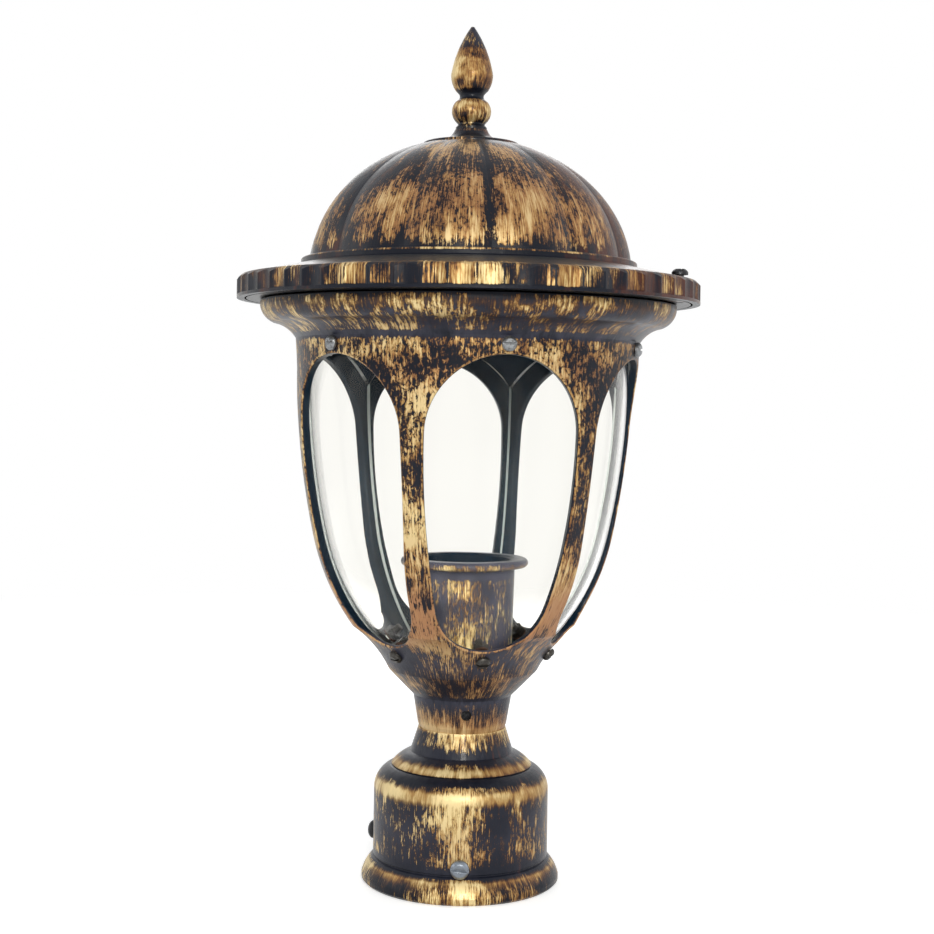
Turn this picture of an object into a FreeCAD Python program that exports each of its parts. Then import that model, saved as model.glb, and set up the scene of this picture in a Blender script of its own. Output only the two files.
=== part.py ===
import FreeCAD, Part
import math
import os
from types import SimpleNamespace

import Sketcher
from FreeCAD import Placement, Rotation, Vector

# Post top lantern, in millimetres.  The origin is the bottom centre of the post fitter, +Z is up and
# the middle of the front window looks along -Y.  A "turn" is an angle about the upright axis, counted
# from the front window towards +X.

document = FreeCAD.newDocument("Lantern")
sheet = document.addObject("Spreadsheet::Sheet", "Dims")
rows = []
nodes = []


# ---------------------------------------------------------------- sizes in the sheet

class Size:
    """A number together with the sheet formula that gives it."""

    def __init__(self, value, formula):
        self.value = float(value)
        self.formula = formula

    def __add__(self, other):
        other = as_size(other)
        return Size(self.value + other.value, "(%s + %s)" % (self.formula, other.formula))

    def __sub__(self, other):
        other = as_size(other)
        return Size(self.value - other.value, "(%s - %s)" % (self.formula, other.formula))

    def __mul__(self, other):
        other = as_size(other)
        return Size(self.value * other.value, "(%s * %s)" % (self.formula, other.formula))

    def __truediv__(self, other):
        other = as_size(other)
        return Size(self.value / other.value, "(%s / %s)" % (self.formula, other.formula))

    def __neg__(self):
        return Size(-self.value, "(0 - %s)" % self.formula)


def as_size(item):
    if isinstance(item, Size):
        return item
    return Size(item, repr(item))


def sine(angle):
    return Size(math.sin(math.radians(angle.value)), "sin(%s)" % angle.formula)


def cosine(angle):
    return Size(math.cos(math.radians(angle.value)), "cos(%s)" % angle.formula)


def root(item):
    return Size(math.sqrt(item.value), "sqrt(%s)" % item.formula)


def cell(name, content, value):
    """Write one row of the sheet and give back the size that reads it."""
    rows.append(name)
    sheet.set("A%d" % len(rows), name)
    sheet.set("B%d" % len(rows), content)
    sheet.setAlias("B%d" % len(rows), name)
    return Size(value, "Dims." + name)


def given(name, number):
    return cell(name, repr(number), number)


def worked_out(name, size):
    return cell(name, "=" + size.formula.replace("Dims.", ""), size.value)


sizes = {
    # Clearances
    "fit_gap": 0.08,
    "thread_gap": 0.06,
    "hole_gap": 0.2,
    "seat_gap": 0.3,
    "touch_gap": 0.05,
    # Post fitter
    "post_bore_radius": 38.9,
    "post_depth": 44.0,
    "fitter_wall": 4.5,
    "lip_reach": 5.6,
    "lip_round": 1.2,
    "lip_top": 3.2,
    "lip_flare_top": 11.6,
    "lip_curve": 18.0,
    "lip_crease": 0.5,
    "shoulder_rise": 11.4,
    "shoulder_radius": 35.8,
    "shoulder_curve": 12.0,
    "shoulder_ledge": 1.0,
    "shoulder_lip": 2.4,
    "step_radius": 34.9,
    "step_top_radius": 25.6,
    "step_rise": 6.8,
    "step_curve": 20.0,
    "step_crease": 0.4,
    "cone_rise": 11.8,
    "cone_top_radius": 21.8,
    "wire_bore_radius": 14.0,
    "spigot_radius": 19.0,
    "spigot_height": 16.8,
    "spigot_groove": 1.5,
    # Cage: collar, bowl, band, cornice and flange
    "collar_foot_radius": 21.4,
    "collar_chamfer": 0.7,
    "collar_chamfer_rise": 2.2,
    "collar_height": 16.3,
    "collar_taper": 2.4,
    "floor_rise": 22.8,
    "floor_thickness": 5.0,
    "cage_wall": 4.5,
    "bowl_angle": 45.7,
    "bowl_low_radius": 453.0,
    "bowl_low_turn": 4.4,
    "bowl_mid_radius": 121.0,
    "bowl_mid_turn": 28.6,
    "bowl_high_radius": 375.0,
    "dent_rise": 12.8,
    "dent_height": 21.5,
    "dent_radius": 58.0,
    "band_height": 15.0,
    "band_flare": 0.9,
    "cove_rise": 7.6,
    "cove_radius": 17.0,
    "roll_reach": 6.2,
    "roll_rise": 7.8,
    "roll_radius": 10.5,
    "roll_band": 2.6,
    "recess_rise": 0.9,
    "recess_depth": 2.5,
    "flange_reach": 6.85,
    "flange_thickness": 5.0,
    "flange_width": 12.7,
    # Windows: an arch, two slightly bowed jambs and a round sill, cut straight through from outside
    "window_count": 6,
    "arch_radius": 36.0,
    "arch_margin": 8.63,
    "jamb_radius": 351.0,
    "sill_drop": 6.0,
    "window_round": 1.0,
    # Panes
    "pane_thickness": 2.0,
    "pane_foot_margin": 12.5,
    "pane_top_margin": 2.37,
    "pane_parting": 0.5,
    "pane_lap": 9.0,
    # Fasteners of the panes
    "pane_screw_radius": 2.0,
    "pane_head_radius": 3.5,
    "pane_head_height": 2.4,
    "upper_screw_margin": 3.83,
    "lower_screw_margin": 7.0,
    "pane_washer_radius": 4.0,
    "pane_washer_thickness": 0.8,
    "pane_nut_flats": 7.0,
    "pane_nut_height": 3.2,
    "screw_tail": 1.5,
    "slot_share": 0.45,
    # Lamp cup, stem and lampholder
    "cup_foot_radius": 23.9,
    "cup_top_radius": 25.2,
    "cup_height": 61.4,
    "cup_wall": 1.6,
    "cup_rim_reach": 6.6,
    "cup_rim_height": 4.1,
    "stem_radius": 4.9,
    "stem_bore_radius": 3.6,
    "stem_tail": 8.0,
    "stem_nut_flats": 14.0,
    "stem_nut_height": 3.5,
    "stem_washer_radius": 9.0,
    "stem_washer_thickness": 1.0,
    "holder_radius": 20.4,
    "holder_foot_radius": 14.5,
    "holder_foot_height": 12.0,
    "holder_height": 48.0,
    "holder_rim_radius": 18.6,
    "holder_shoulder": 3.0,
    "holder_round": 1.0,
    "holder_cavity_depth": 30.0,
    "shell_radius": 13.2,
    "shell_wall": 0.5,
    "shell_rise": 6.0,
    "contact_length": 18.0,
    "contact_width": 6.0,
    "contact_rise": 4.0,
    "contact_thickness": 0.8,
    # Roof: skirt, brim, step ring, lobed dome and crown
    "skirt_radius": 114.8,
    "skirt_height": 11.1,
    "skirt_wall": 3.7,
    "skirt_gap": 0.9,
    "skirt_lip": 1.5,
    "brim_edge": 2.0,
    "flute_count": 60,
    "flute_depth": 1.3,
    "flute_radius": 14.7,
    "brim_rise": 5.9,
    "step_ring_radius": 83.6,
    "step_ring_height": 3.5,
    "step_ring_round": 1.0,
    "roof_wall": 3.8,
    "gasket_thickness": 2.0,
    "gasket_width": 9.0,
    "gasket_margin": 0.5,
    "dome_radius": 81.0,
    "dome_rise": 68.2,
    "dome_sink": 3.33,
    "dome_turn": -5.0,
    "lobe_count": 12,
    "crease_depth": 2.8,
    "crown_radius": 24.2,
    "crown_edge": 2.0,
    "crown_rise": 1.7,
    "hump_radius": 14.0,
    "hump_rise": 5.0,
    "crown_root": 4.0,
    "hump_margin": 0.4,
    "roof_screw_radius": 2.0,
    "roof_screw_margin": 4.0,
    "roof_screw_count": 2,
    "roof_screw_turn": 60.0,
    "roof_head_radius": 4.0,
    "roof_head_height": 2.8,
    # Finial
    "finial_neck_radius": 6.8,
    "finial_foot_radius": 7.8,
    "finial_foot_height": 1.2,
    "finial_ball_radius": 9.8,
    "finial_ball_rise": 9.2,
    "finial_ball_half": 4.6,
    "finial_ball_cut": 1.6,
    "finial_waist_radius": 6.6,
    "finial_waist_rise": 16.6,
    "finial_waist_half": 1.5,
    "finial_waist_curve": 2.2,
    "finial_calyx_radius": 8.2,
    "finial_calyx_rise": 19.8,
    "finial_calyx_curve": 14.0,
    "finial_bud_radius": 10.5,
    "finial_bud_rise": 27.6,
    "finial_bud_curve": 58.0,
    "finial_height": 51.6,
    "finial_tip_radius": 0.8,
    "stud_radius": 3.9,
    "stud_length": 20.0,
    "stud_chamfer": 0.8,
    "finial_washer_radius": 10.0,
    "finial_washer_thickness": 1.6,
    "finial_nut_flats": 13.0,
    "finial_nut_height": 6.5,
    # Clamp screws in the fitter and sunk screws in the collar
    "clamp_radius": 2.5,
    "clamp_head_radius": 4.5,
    "clamp_head_height": 3.0,
    "clamp_standoff": 1.2,
    "front_clamp_height": 16.3,
    "left_clamp_height": 20.0,
    "right_clamp_height": 18.0,
    "front_clamp_turn": -12.5,
    "left_clamp_turn": -117.5,
    "right_clamp_turn": 115.0,
    "neck_screw_radius": 2.5,
    "neck_screw_sink": 0.8,
    "neck_screw_rise": 9.4,
    "neck_screw_turn": -7.5,
    "neck_screw_count": 3,
}
d = SimpleNamespace(**{name: given(name, number) for name, number in sizes.items()})

# Heights and radii that follow from the sizes above
zero = 0
fitter_radius = worked_out("fitter_radius", d.post_bore_radius + d.fitter_wall)
lip_radius = worked_out("lip_radius", fitter_radius + d.lip_reach)
shoulder_foot = worked_out("shoulder_foot", d.post_depth + d.shoulder_ledge)
shoulder_top = worked_out("shoulder_top", shoulder_foot + d.shoulder_rise)
step_foot = worked_out("step_foot", shoulder_top + d.step_crease)
step_top = worked_out("step_top", step_foot + d.step_rise)
seat_height = worked_out("seat_height", step_top + d.cone_rise)
collar_top = worked_out("collar_top", seat_height + d.collar_height)
neck_screw_height = worked_out("neck_screw_height", seat_height + d.neck_screw_rise)
collar_radius = worked_out("collar_radius", d.collar_foot_radius + d.collar_chamfer)
bowl_radius = worked_out("bowl_radius", collar_radius + d.collar_taper)
floor_height = worked_out("floor_height", seat_height + d.floor_rise)
socket_top = worked_out("socket_top", floor_height - d.floor_thickness)
socket_radius = worked_out("socket_radius", d.spigot_radius + d.fit_gap)
bowl_mid_angle = worked_out("bowl_mid_angle", d.bowl_angle - d.bowl_low_turn)
bowl_high_angle = worked_out("bowl_high_angle", bowl_mid_angle - d.bowl_mid_turn)
low_middle_radius = worked_out("low_middle_radius", bowl_radius - d.bowl_low_radius * cosine(d.bowl_angle))
low_middle_height = worked_out("low_middle_height", collar_top + d.bowl_low_radius * sine(d.bowl_angle))
mid_shift = worked_out("mid_shift", d.bowl_low_radius - d.bowl_mid_radius)
mid_middle_radius = worked_out("mid_middle_radius", low_middle_radius + mid_shift * cosine(bowl_mid_angle))
mid_middle_height = worked_out("mid_middle_height", low_middle_height - mid_shift * sine(bowl_mid_angle))
high_shift = worked_out("high_shift", d.bowl_high_radius - d.bowl_mid_radius)
high_middle_radius = worked_out(
    "high_middle_radius", mid_middle_radius - high_shift * cosine(bowl_high_angle))
high_middle_height = worked_out("high_middle_height", mid_middle_height + high_shift * sine(bowl_high_angle))
band_radius = worked_out("band_radius", high_middle_radius + d.bowl_high_radius)
cove_foot = worked_out("cove_foot", high_middle_height + d.band_height)
roll_foot = worked_out("roll_foot", cove_foot + d.cove_rise)
dent_foot_height = worked_out("dent_foot_height", collar_top + d.dent_rise)
dent_top_height = worked_out("dent_top_height", dent_foot_height + d.dent_height)
sill_height = worked_out("sill_height", dent_top_height - d.sill_drop)
arch_spring_height = worked_out("arch_spring_height", cove_foot - d.arch_margin - d.arch_radius)
pane_foot_height = worked_out("pane_foot_height", sill_height - d.pane_foot_margin)
pane_top_height = worked_out("pane_top_height", cove_foot + d.pane_top_margin)
pane_screw_top_height = worked_out("pane_screw_top_height", cove_foot - d.upper_screw_margin)
pane_screw_low_height = worked_out("pane_screw_low_height", sill_height - d.lower_screw_margin)
roll_top = worked_out("roll_top", roll_foot + d.roll_rise)
skirt_inner_radius = worked_out("skirt_inner_radius", d.skirt_radius - d.skirt_wall)
flange_radius = worked_out("flange_radius", skirt_inner_radius - d.skirt_gap)
flange_inner_radius = worked_out("flange_inner_radius", flange_radius - d.flange_width)
roof_screw_circle = worked_out("roof_screw_circle", flange_radius - d.roof_screw_margin)
roll_edge_radius = worked_out("roll_edge_radius", flange_radius - d.flange_reach)
cove_reach = worked_out("cove_reach", roll_edge_radius - d.roll_reach - band_radius - d.band_flare)
flange_foot = worked_out("flange_foot", roll_top + d.roll_band + d.recess_rise)
flange_top = worked_out("flange_top", flange_foot + d.flange_thickness)
gasket_top = worked_out("gasket_top", flange_top + d.gasket_thickness)
skirt_top = worked_out("skirt_top", flange_foot + d.skirt_height)
brim_top = worked_out("brim_top", skirt_top + d.brim_rise)
dome_middle_height = worked_out("dome_middle_height", brim_top - d.dome_sink)
step_ring_top = worked_out("step_ring_top", brim_top + d.step_ring_height)
cup_foot = worked_out("cup_foot", floor_height + d.touch_gap)
cup_top = worked_out("cup_top", cup_foot + d.cup_height)
crown_foot = worked_out("crown_foot", dome_middle_height + d.dome_rise * root(
    as_size(1) - (d.crown_radius * d.crown_radius) / (d.dome_radius * d.dome_radius)) - d.crown_edge * 0.5)
crown_edge_top = worked_out("crown_edge_top", crown_foot + d.crown_edge)
hump_foot = worked_out("hump_foot", crown_edge_top + d.crown_rise)
crown_top = worked_out("crown_top", hump_foot + d.hump_rise)
document.recompute()


# ---------------------------------------------------------------- drawing tools

def new_body(name):
    body = document.addObject("PartDesign::Body", name)
    body.Label = name
    return body


def new_sketch(body, name, role="XZ_Plane"):
    sketch = body.newObject("Sketcher::SketchObject", name)
    plane = [item for item in body.Origin.OriginFeatures if item.Role == role][0]
    sketch.AttachmentSupport = [(plane, "")]
    sketch.MapMode = "FlatFace"
    return sketch


def arc_middle(start, stop, radius):
    chord = stop - start
    span = chord.Length / 2
    height = math.sqrt(max(radius * radius - span * span, 0.0))
    left = Vector(-chord.y, chord.x, 0).normalize()
    return (start + stop) / 2 + left * (height if radius > 0 else -height)


def arc_between(start, stop, radius):
    """An arc of less than a half circle; a positive radius keeps its middle on the left of the way."""
    side = 1 if radius > 0 else -1
    middle = arc_middle(start, stop, radius)
    first, last = (start, stop) if side > 0 else (stop, start)
    angle_first = math.atan2(first.y - middle.y, first.x - middle.x)
    angle_last = math.atan2(last.y - middle.y, last.x - middle.x)
    circle = Part.Circle(middle, Vector(0, 0, 1), abs(radius))
    return Part.ArcOfCircle(circle, angle_first, angle_last)


def outline(sketch, corners):
    """A closed outline.  A corner is (across, up), with a third size where an arc leads to the next."""
    first = sketch.GeometryCount
    shapes = []
    ends = []
    for index, corner in enumerate(corners):
        following = corners[(index + 1) % len(corners)]
        start = Vector(as_size(corner[0]).value, as_size(corner[1]).value, 0)
        stop = Vector(as_size(following[0]).value, as_size(following[1]).value, 0)
        turned = len(corner) == 3 and as_size(corner[2]).value < 0
        if len(corner) == 3:
            shapes.append(arc_between(start, stop, as_size(corner[2]).value))
        else:
            shapes.append(Part.LineSegment(start, stop))
        ends.append((2, 1) if turned else (1, 2))
    sketch.addGeometry(shapes, False)
    rules = []
    formulas = []
    for index, corner in enumerate(corners):
        mine = first + index
        after = (index + 1) % len(corners)
        rules.append(Sketcher.Constraint("Coincident", mine, ends[index][1], first + after, ends[after][0]))
        for axis, kind, item in ((-2, "DistanceX", corner[0]), (-1, "DistanceY", corner[1])):
            size = as_size(item)
            if size.formula == "0":
                rules.append(Sketcher.Constraint("PointOnObject", mine, ends[index][0], axis))
            else:
                formulas.append((len(rules), size.formula))
                rules.append(Sketcher.Constraint(kind, mine, ends[index][0], size.value))
        if len(corner) == 3:
            size = as_size(corner[2])
            plain = size if size.value > 0 else -size
            formulas.append((len(rules), plain.formula))
            rules.append(Sketcher.Constraint("Radius", mine, plain.value))
    base = sketch.ConstraintCount
    sketch.addConstraint(rules)
    for place, formula in formulas:
        if "Dims" in formula:
            sketch.setExpression("Constraints[%d]" % (base + place), formula)


def turned_body(name, corners):
    """A piece turned about the upright axis from a half section."""
    body = new_body(name)
    sketch = new_sketch(body, name + "_section")
    outline(sketch, corners)
    spin = body.newObject("PartDesign::Revolution", name + "_turned")
    spin.Profile = sketch
    spin.ReferenceAxis = (sketch, ["V_Axis"])
    spin.Angle = 360
    sketch.Visibility = False
    return body


def keep(name, item):
    """Mark an object as one piece of the lantern; the label is the piece's name."""
    item.Label = name
    nodes.append((name, item))


def outward(turn, drop=0.0):
    """The rotation that swings an upright piece to point out of the axis at a turn, nose dropped."""
    return Rotation(Vector(0, 0, 1), turn - 90) * Rotation(Vector(0, 1, 0), 90 + drop)


def rod(name, radius, length, place):
    """A plain round cutter whose radius and length follow the sheet."""
    item = document.addObject("Part::Cylinder", name)
    item.setExpression("Radius", radius.formula)
    item.setExpression("Height", length.formula)
    item.Placement = place
    return item


def compound(name, items):
    item = document.addObject("Part::Compound", name)
    item.Links = items
    return item


def cut(name, base, tool):
    item = document.addObject("Part::Cut", name)
    item.Base = base
    item.Tool = tool
    return item


def ring(name, pattern, places):
    """Equal pieces in one group: copies of a pattern piece at their places."""
    document.recompute()
    copies = []
    for place in places:
        copy = pattern.Shape.copy()
        copy.Placement = place.multiply(pattern.Shape.Placement)
        copies.append(copy)
    item = document.addObject("Part::Feature", name)
    item.Shape = Part.makeCompound(copies)
    keep(name, item)
    return item


def turns_of(count, start=0.0):
    return [start + 360.0 * index / count for index in range(count)]


def slotted_screw(name, radius, length, head_radius, head_height):
    """A pan head screw along +Z: its tip at -length, the underside of its head at 0."""
    body = new_body(name)
    sketch = new_sketch(body, name + "_section")
    chamfer = radius * 0.25
    outline(sketch, [
        (zero, -length),
        (radius - chamfer, -length),
        (radius, -length + chamfer),
        (radius, zero),
        (head_radius, zero),
        (head_radius, head_height * 0.45, head_radius * 0.9),
        (head_radius * 0.62, head_height),
        (zero, head_height),
    ])
    spin = body.newObject("PartDesign::Revolution", name + "_turned")
    spin.Profile = sketch
    spin.ReferenceAxis = (sketch, ["V_Axis"])
    spin.Angle = 360
    slot_half = radius * 0.26
    slot_floor = head_height - head_height * d.slot_share
    slot = new_sketch(body, name + "_slot_outline")
    outline(slot, [
        (-slot_half, slot_floor),
        (slot_half, slot_floor),
        (slot_half, head_height * 2),
        (-slot_half, head_height * 2),
    ])
    pocket = body.newObject("PartDesign::Pocket", name + "_slot")
    pocket.Profile = slot
    pocket.Type = "ThroughAll"
    pocket.Midplane = True
    return body


def hexagon_nut(name, flats, height, bore_radius):
    """A hexagon nut along +Z standing on 0."""
    prism = document.addObject("Part::Prism", name + "_prism")
    prism.Polygon = 6
    prism.setExpression("Circumradius", (flats / math.sqrt(3)).formula)
    prism.setExpression("Height", height.formula)
    bore = rod(name + "_bore", bore_radius, height * 3, Placement())
    bore.setExpression("Placement.Base.z", (-height).formula)
    return cut(name, prism, bore)


def washer(name, radius, thickness, bore_radius):
    """A flat washer along +Z standing on 0."""
    disc = rod(name + "_disc", radius, thickness, Placement())
    bore = rod(name + "_bore", bore_radius, thickness * 3, Placement())
    bore.setExpression("Placement.Base.z", (-thickness).formula)
    return cut(name, disc, bore)


# ---------------------------------------------------------------- the bowl's curve

def bowl_point(middle_radius, middle_height, curve_radius, angle, depth):
    """A point of the cage's curve, a depth inside the outer face, where the face leans by angle."""
    reach = curve_radius - depth
    return (middle_radius + reach * cosine(angle), middle_height - reach * sine(angle))


def bowl_radius_at(height, depth):
    """The radius at a height on the lowest arc, a depth inside the outer face."""
    reach = d.bowl_low_radius - depth
    rise = low_middle_height - height
    return low_middle_radius + root(reach * reach - rise * rise)


def bowl_up(depth, start):
    """Corners of the cage's curve going up from a start corner on its lowest arc."""
    depth = as_size(depth)
    low_end = bowl_point(low_middle_radius, low_middle_height, d.bowl_low_radius, bowl_mid_angle, depth)
    mid_end = bowl_point(mid_middle_radius, mid_middle_height, d.bowl_mid_radius, bowl_high_angle, depth)
    high_end = (band_radius - depth, high_middle_height)
    return [
        (start[0], start[1], d.bowl_low_radius - depth),
        (low_end[0], low_end[1], d.bowl_mid_radius - depth),
        (mid_end[0], mid_end[1], d.bowl_high_radius - depth),
        high_end,
    ]


def dented_bowl(start):
    """Corners of the outer face going up, with the shallow hollow band that runs round under the windows."""
    foot = (bowl_radius_at(dent_foot_height, zero), dent_foot_height)
    rise = mid_middle_height - dent_top_height
    reach = root(d.bowl_mid_radius * d.bowl_mid_radius - rise * rise)
    mid_end = bowl_point(mid_middle_radius, mid_middle_height, d.bowl_mid_radius, bowl_high_angle, zero)
    return [
        (start[0], start[1], d.bowl_low_radius),
        (foot[0], foot[1], -d.dent_radius),
        (mid_middle_radius + reach, dent_top_height, d.bowl_mid_radius),
        (mid_end[0], mid_end[1], d.bowl_high_radius),
        (band_radius, high_middle_height),
    ]


def dent_depth(lean):
    """How far the hollow band lies inside the lowest arc, along an axis that leans by an angle."""
    foot, top = [Vector(corner[0].value, as_size(corner[1]).value, 0)
                 for corner in dented_bowl((bowl_radius, collar_top))[1:3]]
    middle = arc_middle(foot, top, -d.dent_radius.value)
    way = Vector(math.cos(lean), -math.sin(lean), 0)
    start = Vector(low_middle_radius.value, low_middle_height.value, 0) - middle
    along = start.dot(way)
    spread = start.dot(start) - d.dent_radius.value ** 2
    face = -along - math.sqrt(along * along - spread)
    return d.bowl_low_radius.value - face


def bowl_down(depth, stop):
    """The same curve going down to a stop corner on its lowest arc."""
    depth = as_size(depth)
    low_end = bowl_point(low_middle_radius, low_middle_height, d.bowl_low_radius, bowl_mid_angle, depth)
    mid_end = bowl_point(mid_middle_radius, mid_middle_height, d.bowl_mid_radius, bowl_high_angle, depth)
    return [
        (band_radius - depth, high_middle_height, -(d.bowl_high_radius - depth)),
        (mid_end[0], mid_end[1], -(d.bowl_mid_radius - depth)),
        (low_end[0], low_end[1], -(d.bowl_low_radius - depth)),
        stop,
    ]


# ---------------------------------------------------------------- post fitter

def clamp_drill(name, height, turn):
    place = Placement(Vector(), outward(turn.value))
    drill = rod(name, d.clamp_radius + d.thread_gap, lip_radius * 2, place)
    drill.setExpression("Placement.Base.z", height.formula)
    return drill


def make_fitter():
    wall = d.fitter_wall
    body = turned_body("fitter_casting", [
        (d.post_bore_radius, zero),
        (lip_radius - d.lip_round, zero),
        (lip_radius, d.lip_round),
        (lip_radius, d.lip_top, d.lip_curve),
        (fitter_radius + d.lip_crease, d.lip_flare_top),
        (fitter_radius - d.lip_crease, d.lip_flare_top + d.lip_crease),
        (fitter_radius - d.lip_crease, d.lip_flare_top + d.lip_crease * 2),
        (fitter_radius, d.lip_flare_top + d.lip_crease * 3),
        (fitter_radius, shoulder_foot, d.shoulder_curve),
        (d.shoulder_radius, shoulder_top),
        (d.step_radius - d.step_crease, step_foot),
        (d.step_radius, step_foot + d.step_crease, d.step_curve),
        (d.step_top_radius, step_top),
        (d.cone_top_radius, seat_height),
        (d.spigot_radius, seat_height),
        (d.spigot_radius, neck_screw_height - d.neck_screw_radius - d.spigot_groove),
        (d.spigot_radius - d.spigot_groove, neck_screw_height - d.neck_screw_radius),
        (d.spigot_radius - d.spigot_groove, neck_screw_height + d.neck_screw_radius),
        (d.spigot_radius, neck_screw_height + d.neck_screw_radius + d.spigot_groove),
        (d.spigot_radius, seat_height + d.spigot_height),
        (d.wire_bore_radius, seat_height + d.spigot_height),
        (d.wire_bore_radius, seat_height),
        (d.step_top_radius - wall, step_top - wall * 1.2),
        (d.step_radius - wall, step_foot - wall * 0.6),
        (d.post_bore_radius - d.shoulder_lip, d.post_depth),
        (d.post_bore_radius, d.post_depth),
    ])
    drills = compound("fitter_drills", [
        clamp_drill("front_clamp_drill", d.front_clamp_height, d.front_clamp_turn),
        clamp_drill("left_clamp_drill", d.left_clamp_height, d.left_clamp_turn),
        clamp_drill("right_clamp_drill", d.right_clamp_height, d.right_clamp_turn),
    ])
    keep("post_fitter", cut("post_fitter", body, drills))


def make_clamp_screw(name, height, turn):
    length = d.fitter_wall + d.clamp_standoff
    screw = slotted_screw(name, d.clamp_radius, length, d.clamp_head_radius, d.clamp_head_height)
    head_seat = fitter_radius + d.clamp_standoff
    way = math.radians(turn.value)
    spot = Vector(head_seat.value * math.sin(way), -head_seat.value * math.cos(way), height.value)
    screw.Placement = Placement(spot, outward(turn.value) * Rotation(Vector(0, 0, 1), 90))
    keep(name, screw)


# ---------------------------------------------------------------- cage

def window_corners(lap):
    """The window's arch, jambs and sill, or an outline that laps round it on the same middles."""
    jamb_shift = d.jamb_radius - d.arch_radius
    drop = arch_spring_height - sill_height
    sill_radius = (d.jamb_radius * d.jamb_radius - jamb_shift * jamb_shift - drop * drop) / (
        (d.jamb_radius - drop) * 2)
    lean = (sill_radius + lap) / (d.jamb_radius - sill_radius)
    foot = (jamb_shift * lean, sill_height + sill_radius - (drop - sill_radius) * lean)
    arch = d.arch_radius + lap
    return [
        (arch, arch_spring_height, arch),
        (zero, arch_spring_height + arch, arch),
        (-arch, arch_spring_height, d.jamb_radius + lap),
        (-foot[0], foot[1], sill_radius + lap),
        (zero, sill_height - lap, sill_radius + lap),
        (foot[0], foot[1], d.jamb_radius + lap),
    ]


def window_rims(shape):
    """Names of the edges where a window's side meets the cage's outer or inner face."""
    def is_side(face):
        return isinstance(face.Surface, Part.Cylinder) and abs(face.Surface.Axis.z) < 0.001
    sides = [face for face in shape.Faces if is_side(face)]
    others = [face for face in shape.Faces if not is_side(face)]
    names = []
    for index, edge in enumerate(shape.Edges):
        on_side = any(edge.isSame(other) for face in sides for other in face.Edges)
        if on_side and any(edge.isSame(other) for face in others for other in face.Edges):
            names.append("Edge%d" % (index + 1))
    return names


def cove_inside():
    """The cove's inner face going down: an arc on the outer arc's middle, one wall further in."""
    foot = (band_radius + d.band_flare, cove_foot)
    chord = root(cove_reach * cove_reach + d.cove_rise * d.cove_rise)
    stand = root(d.cove_radius * d.cove_radius - chord * chord / 4) / chord
    middle = (foot[0] + cove_reach / 2 + d.cove_rise * stand, foot[1] + d.cove_rise / 2 - cove_reach * stand)
    share = (d.cove_radius + d.cage_wall) / d.cove_radius
    low = (middle[0] - (middle[0] - foot[0]) * share, middle[1] + (foot[1] - middle[1]) * share)
    high = (middle[0] + (foot[0] + cove_reach - middle[0]) * share,
            middle[1] + (foot[1] + d.cove_rise - middle[1]) * share)
    return [
        (high[0], high[1], d.cove_radius + d.cage_wall),
        low,
    ]


def make_cage():
    start = (bowl_radius, collar_top)
    floor_start = (bowl_radius_at(floor_height, d.cage_wall), floor_height)
    inner_top = cove_foot
    flare = band_radius + d.band_flare
    body = turned_body("cage_casting", [
        (socket_radius, seat_height),
        (d.collar_foot_radius, seat_height),
        (collar_radius, seat_height + d.collar_chamfer_rise),
    ] + dented_bowl(start) + [
        (flare, cove_foot, -d.cove_radius),
        (flare + cove_reach, roll_foot, d.roll_radius),
        (roll_edge_radius, roll_top),
        (roll_edge_radius, roll_top + d.roll_band),
        (roll_edge_radius - d.recess_depth, flange_foot),
        (flange_radius, flange_foot),
        (flange_radius, flange_top),
        (flange_inner_radius, flange_top),
        (flange_inner_radius, flange_foot - d.cage_wall * 0.5),
    ] + cove_inside() + [
        (band_radius - d.cage_wall, inner_top),
    ] + bowl_down(d.cage_wall, floor_start) + [
        (d.stem_radius + d.hole_gap, floor_height),
        (d.stem_radius + d.hole_gap, socket_top),
        (socket_radius, socket_top),
    ])
    window = new_sketch(body, "window_outline")
    outline(window, window_corners(as_size(0)))
    opening = body.newObject("PartDesign::Pocket", "window_opening")
    opening.Profile = window
    opening.Type = "Length"
    opening.setExpression("Length", (band_radius * 1.5).formula)
    document.recompute()
    if opening.Shape.Volume > body.Group[1].Shape.Volume - 1:
        opening.Reversed = True
    pattern = body.newObject("PartDesign::PolarPattern", "windows")
    pattern.Originals = [opening]
    upright = [item for item in body.Origin.OriginFeatures if item.Role == "Z_Axis"][0]
    pattern.Axis = (upright, [""])
    pattern.Angle = 360
    pattern.setExpression("Occurrences", d.window_count.formula)
    body.Tip = pattern
    document.recompute()
    rounds = body.newObject("PartDesign::Fillet", "window_rounds")
    rounds.Base = (pattern, window_rims(pattern.Shape))
    rounds.setExpression("Radius", d.window_round.formula)
    body.Tip = rounds
    document.recompute()
    drills = []
    for place in upper_places(as_size(0)):
        drill = rod("upper_drill", d.pane_screw_radius + d.hole_gap, band_radius * 1.2, place)
        drills.append(drill)
    for place in lower_places(-d.cage_wall * 1.4):
        drills.append(rod("lower_drill", d.pane_screw_radius + d.hole_gap, d.cage_wall * 4, place))
    for turn in turns_of(int(d.neck_screw_count.value), d.neck_screw_turn.value):
        spot = Placement(Vector(0, 0, neck_screw_height.value), outward(turn))
        drills.append(rod("neck_drill", d.neck_screw_radius + d.thread_gap, collar_radius * 2, spot))
    for place in roof_screw_places(flange_foot - d.flange_thickness):
        drills.append(rod("flange_drill", d.roof_screw_radius + d.fit_gap, d.flange_thickness * 3, place))
    keep("cage", cut("cage", body, compound("cage_drills", drills)))


# ---------------------------------------------------------------- panes and their fasteners

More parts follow.
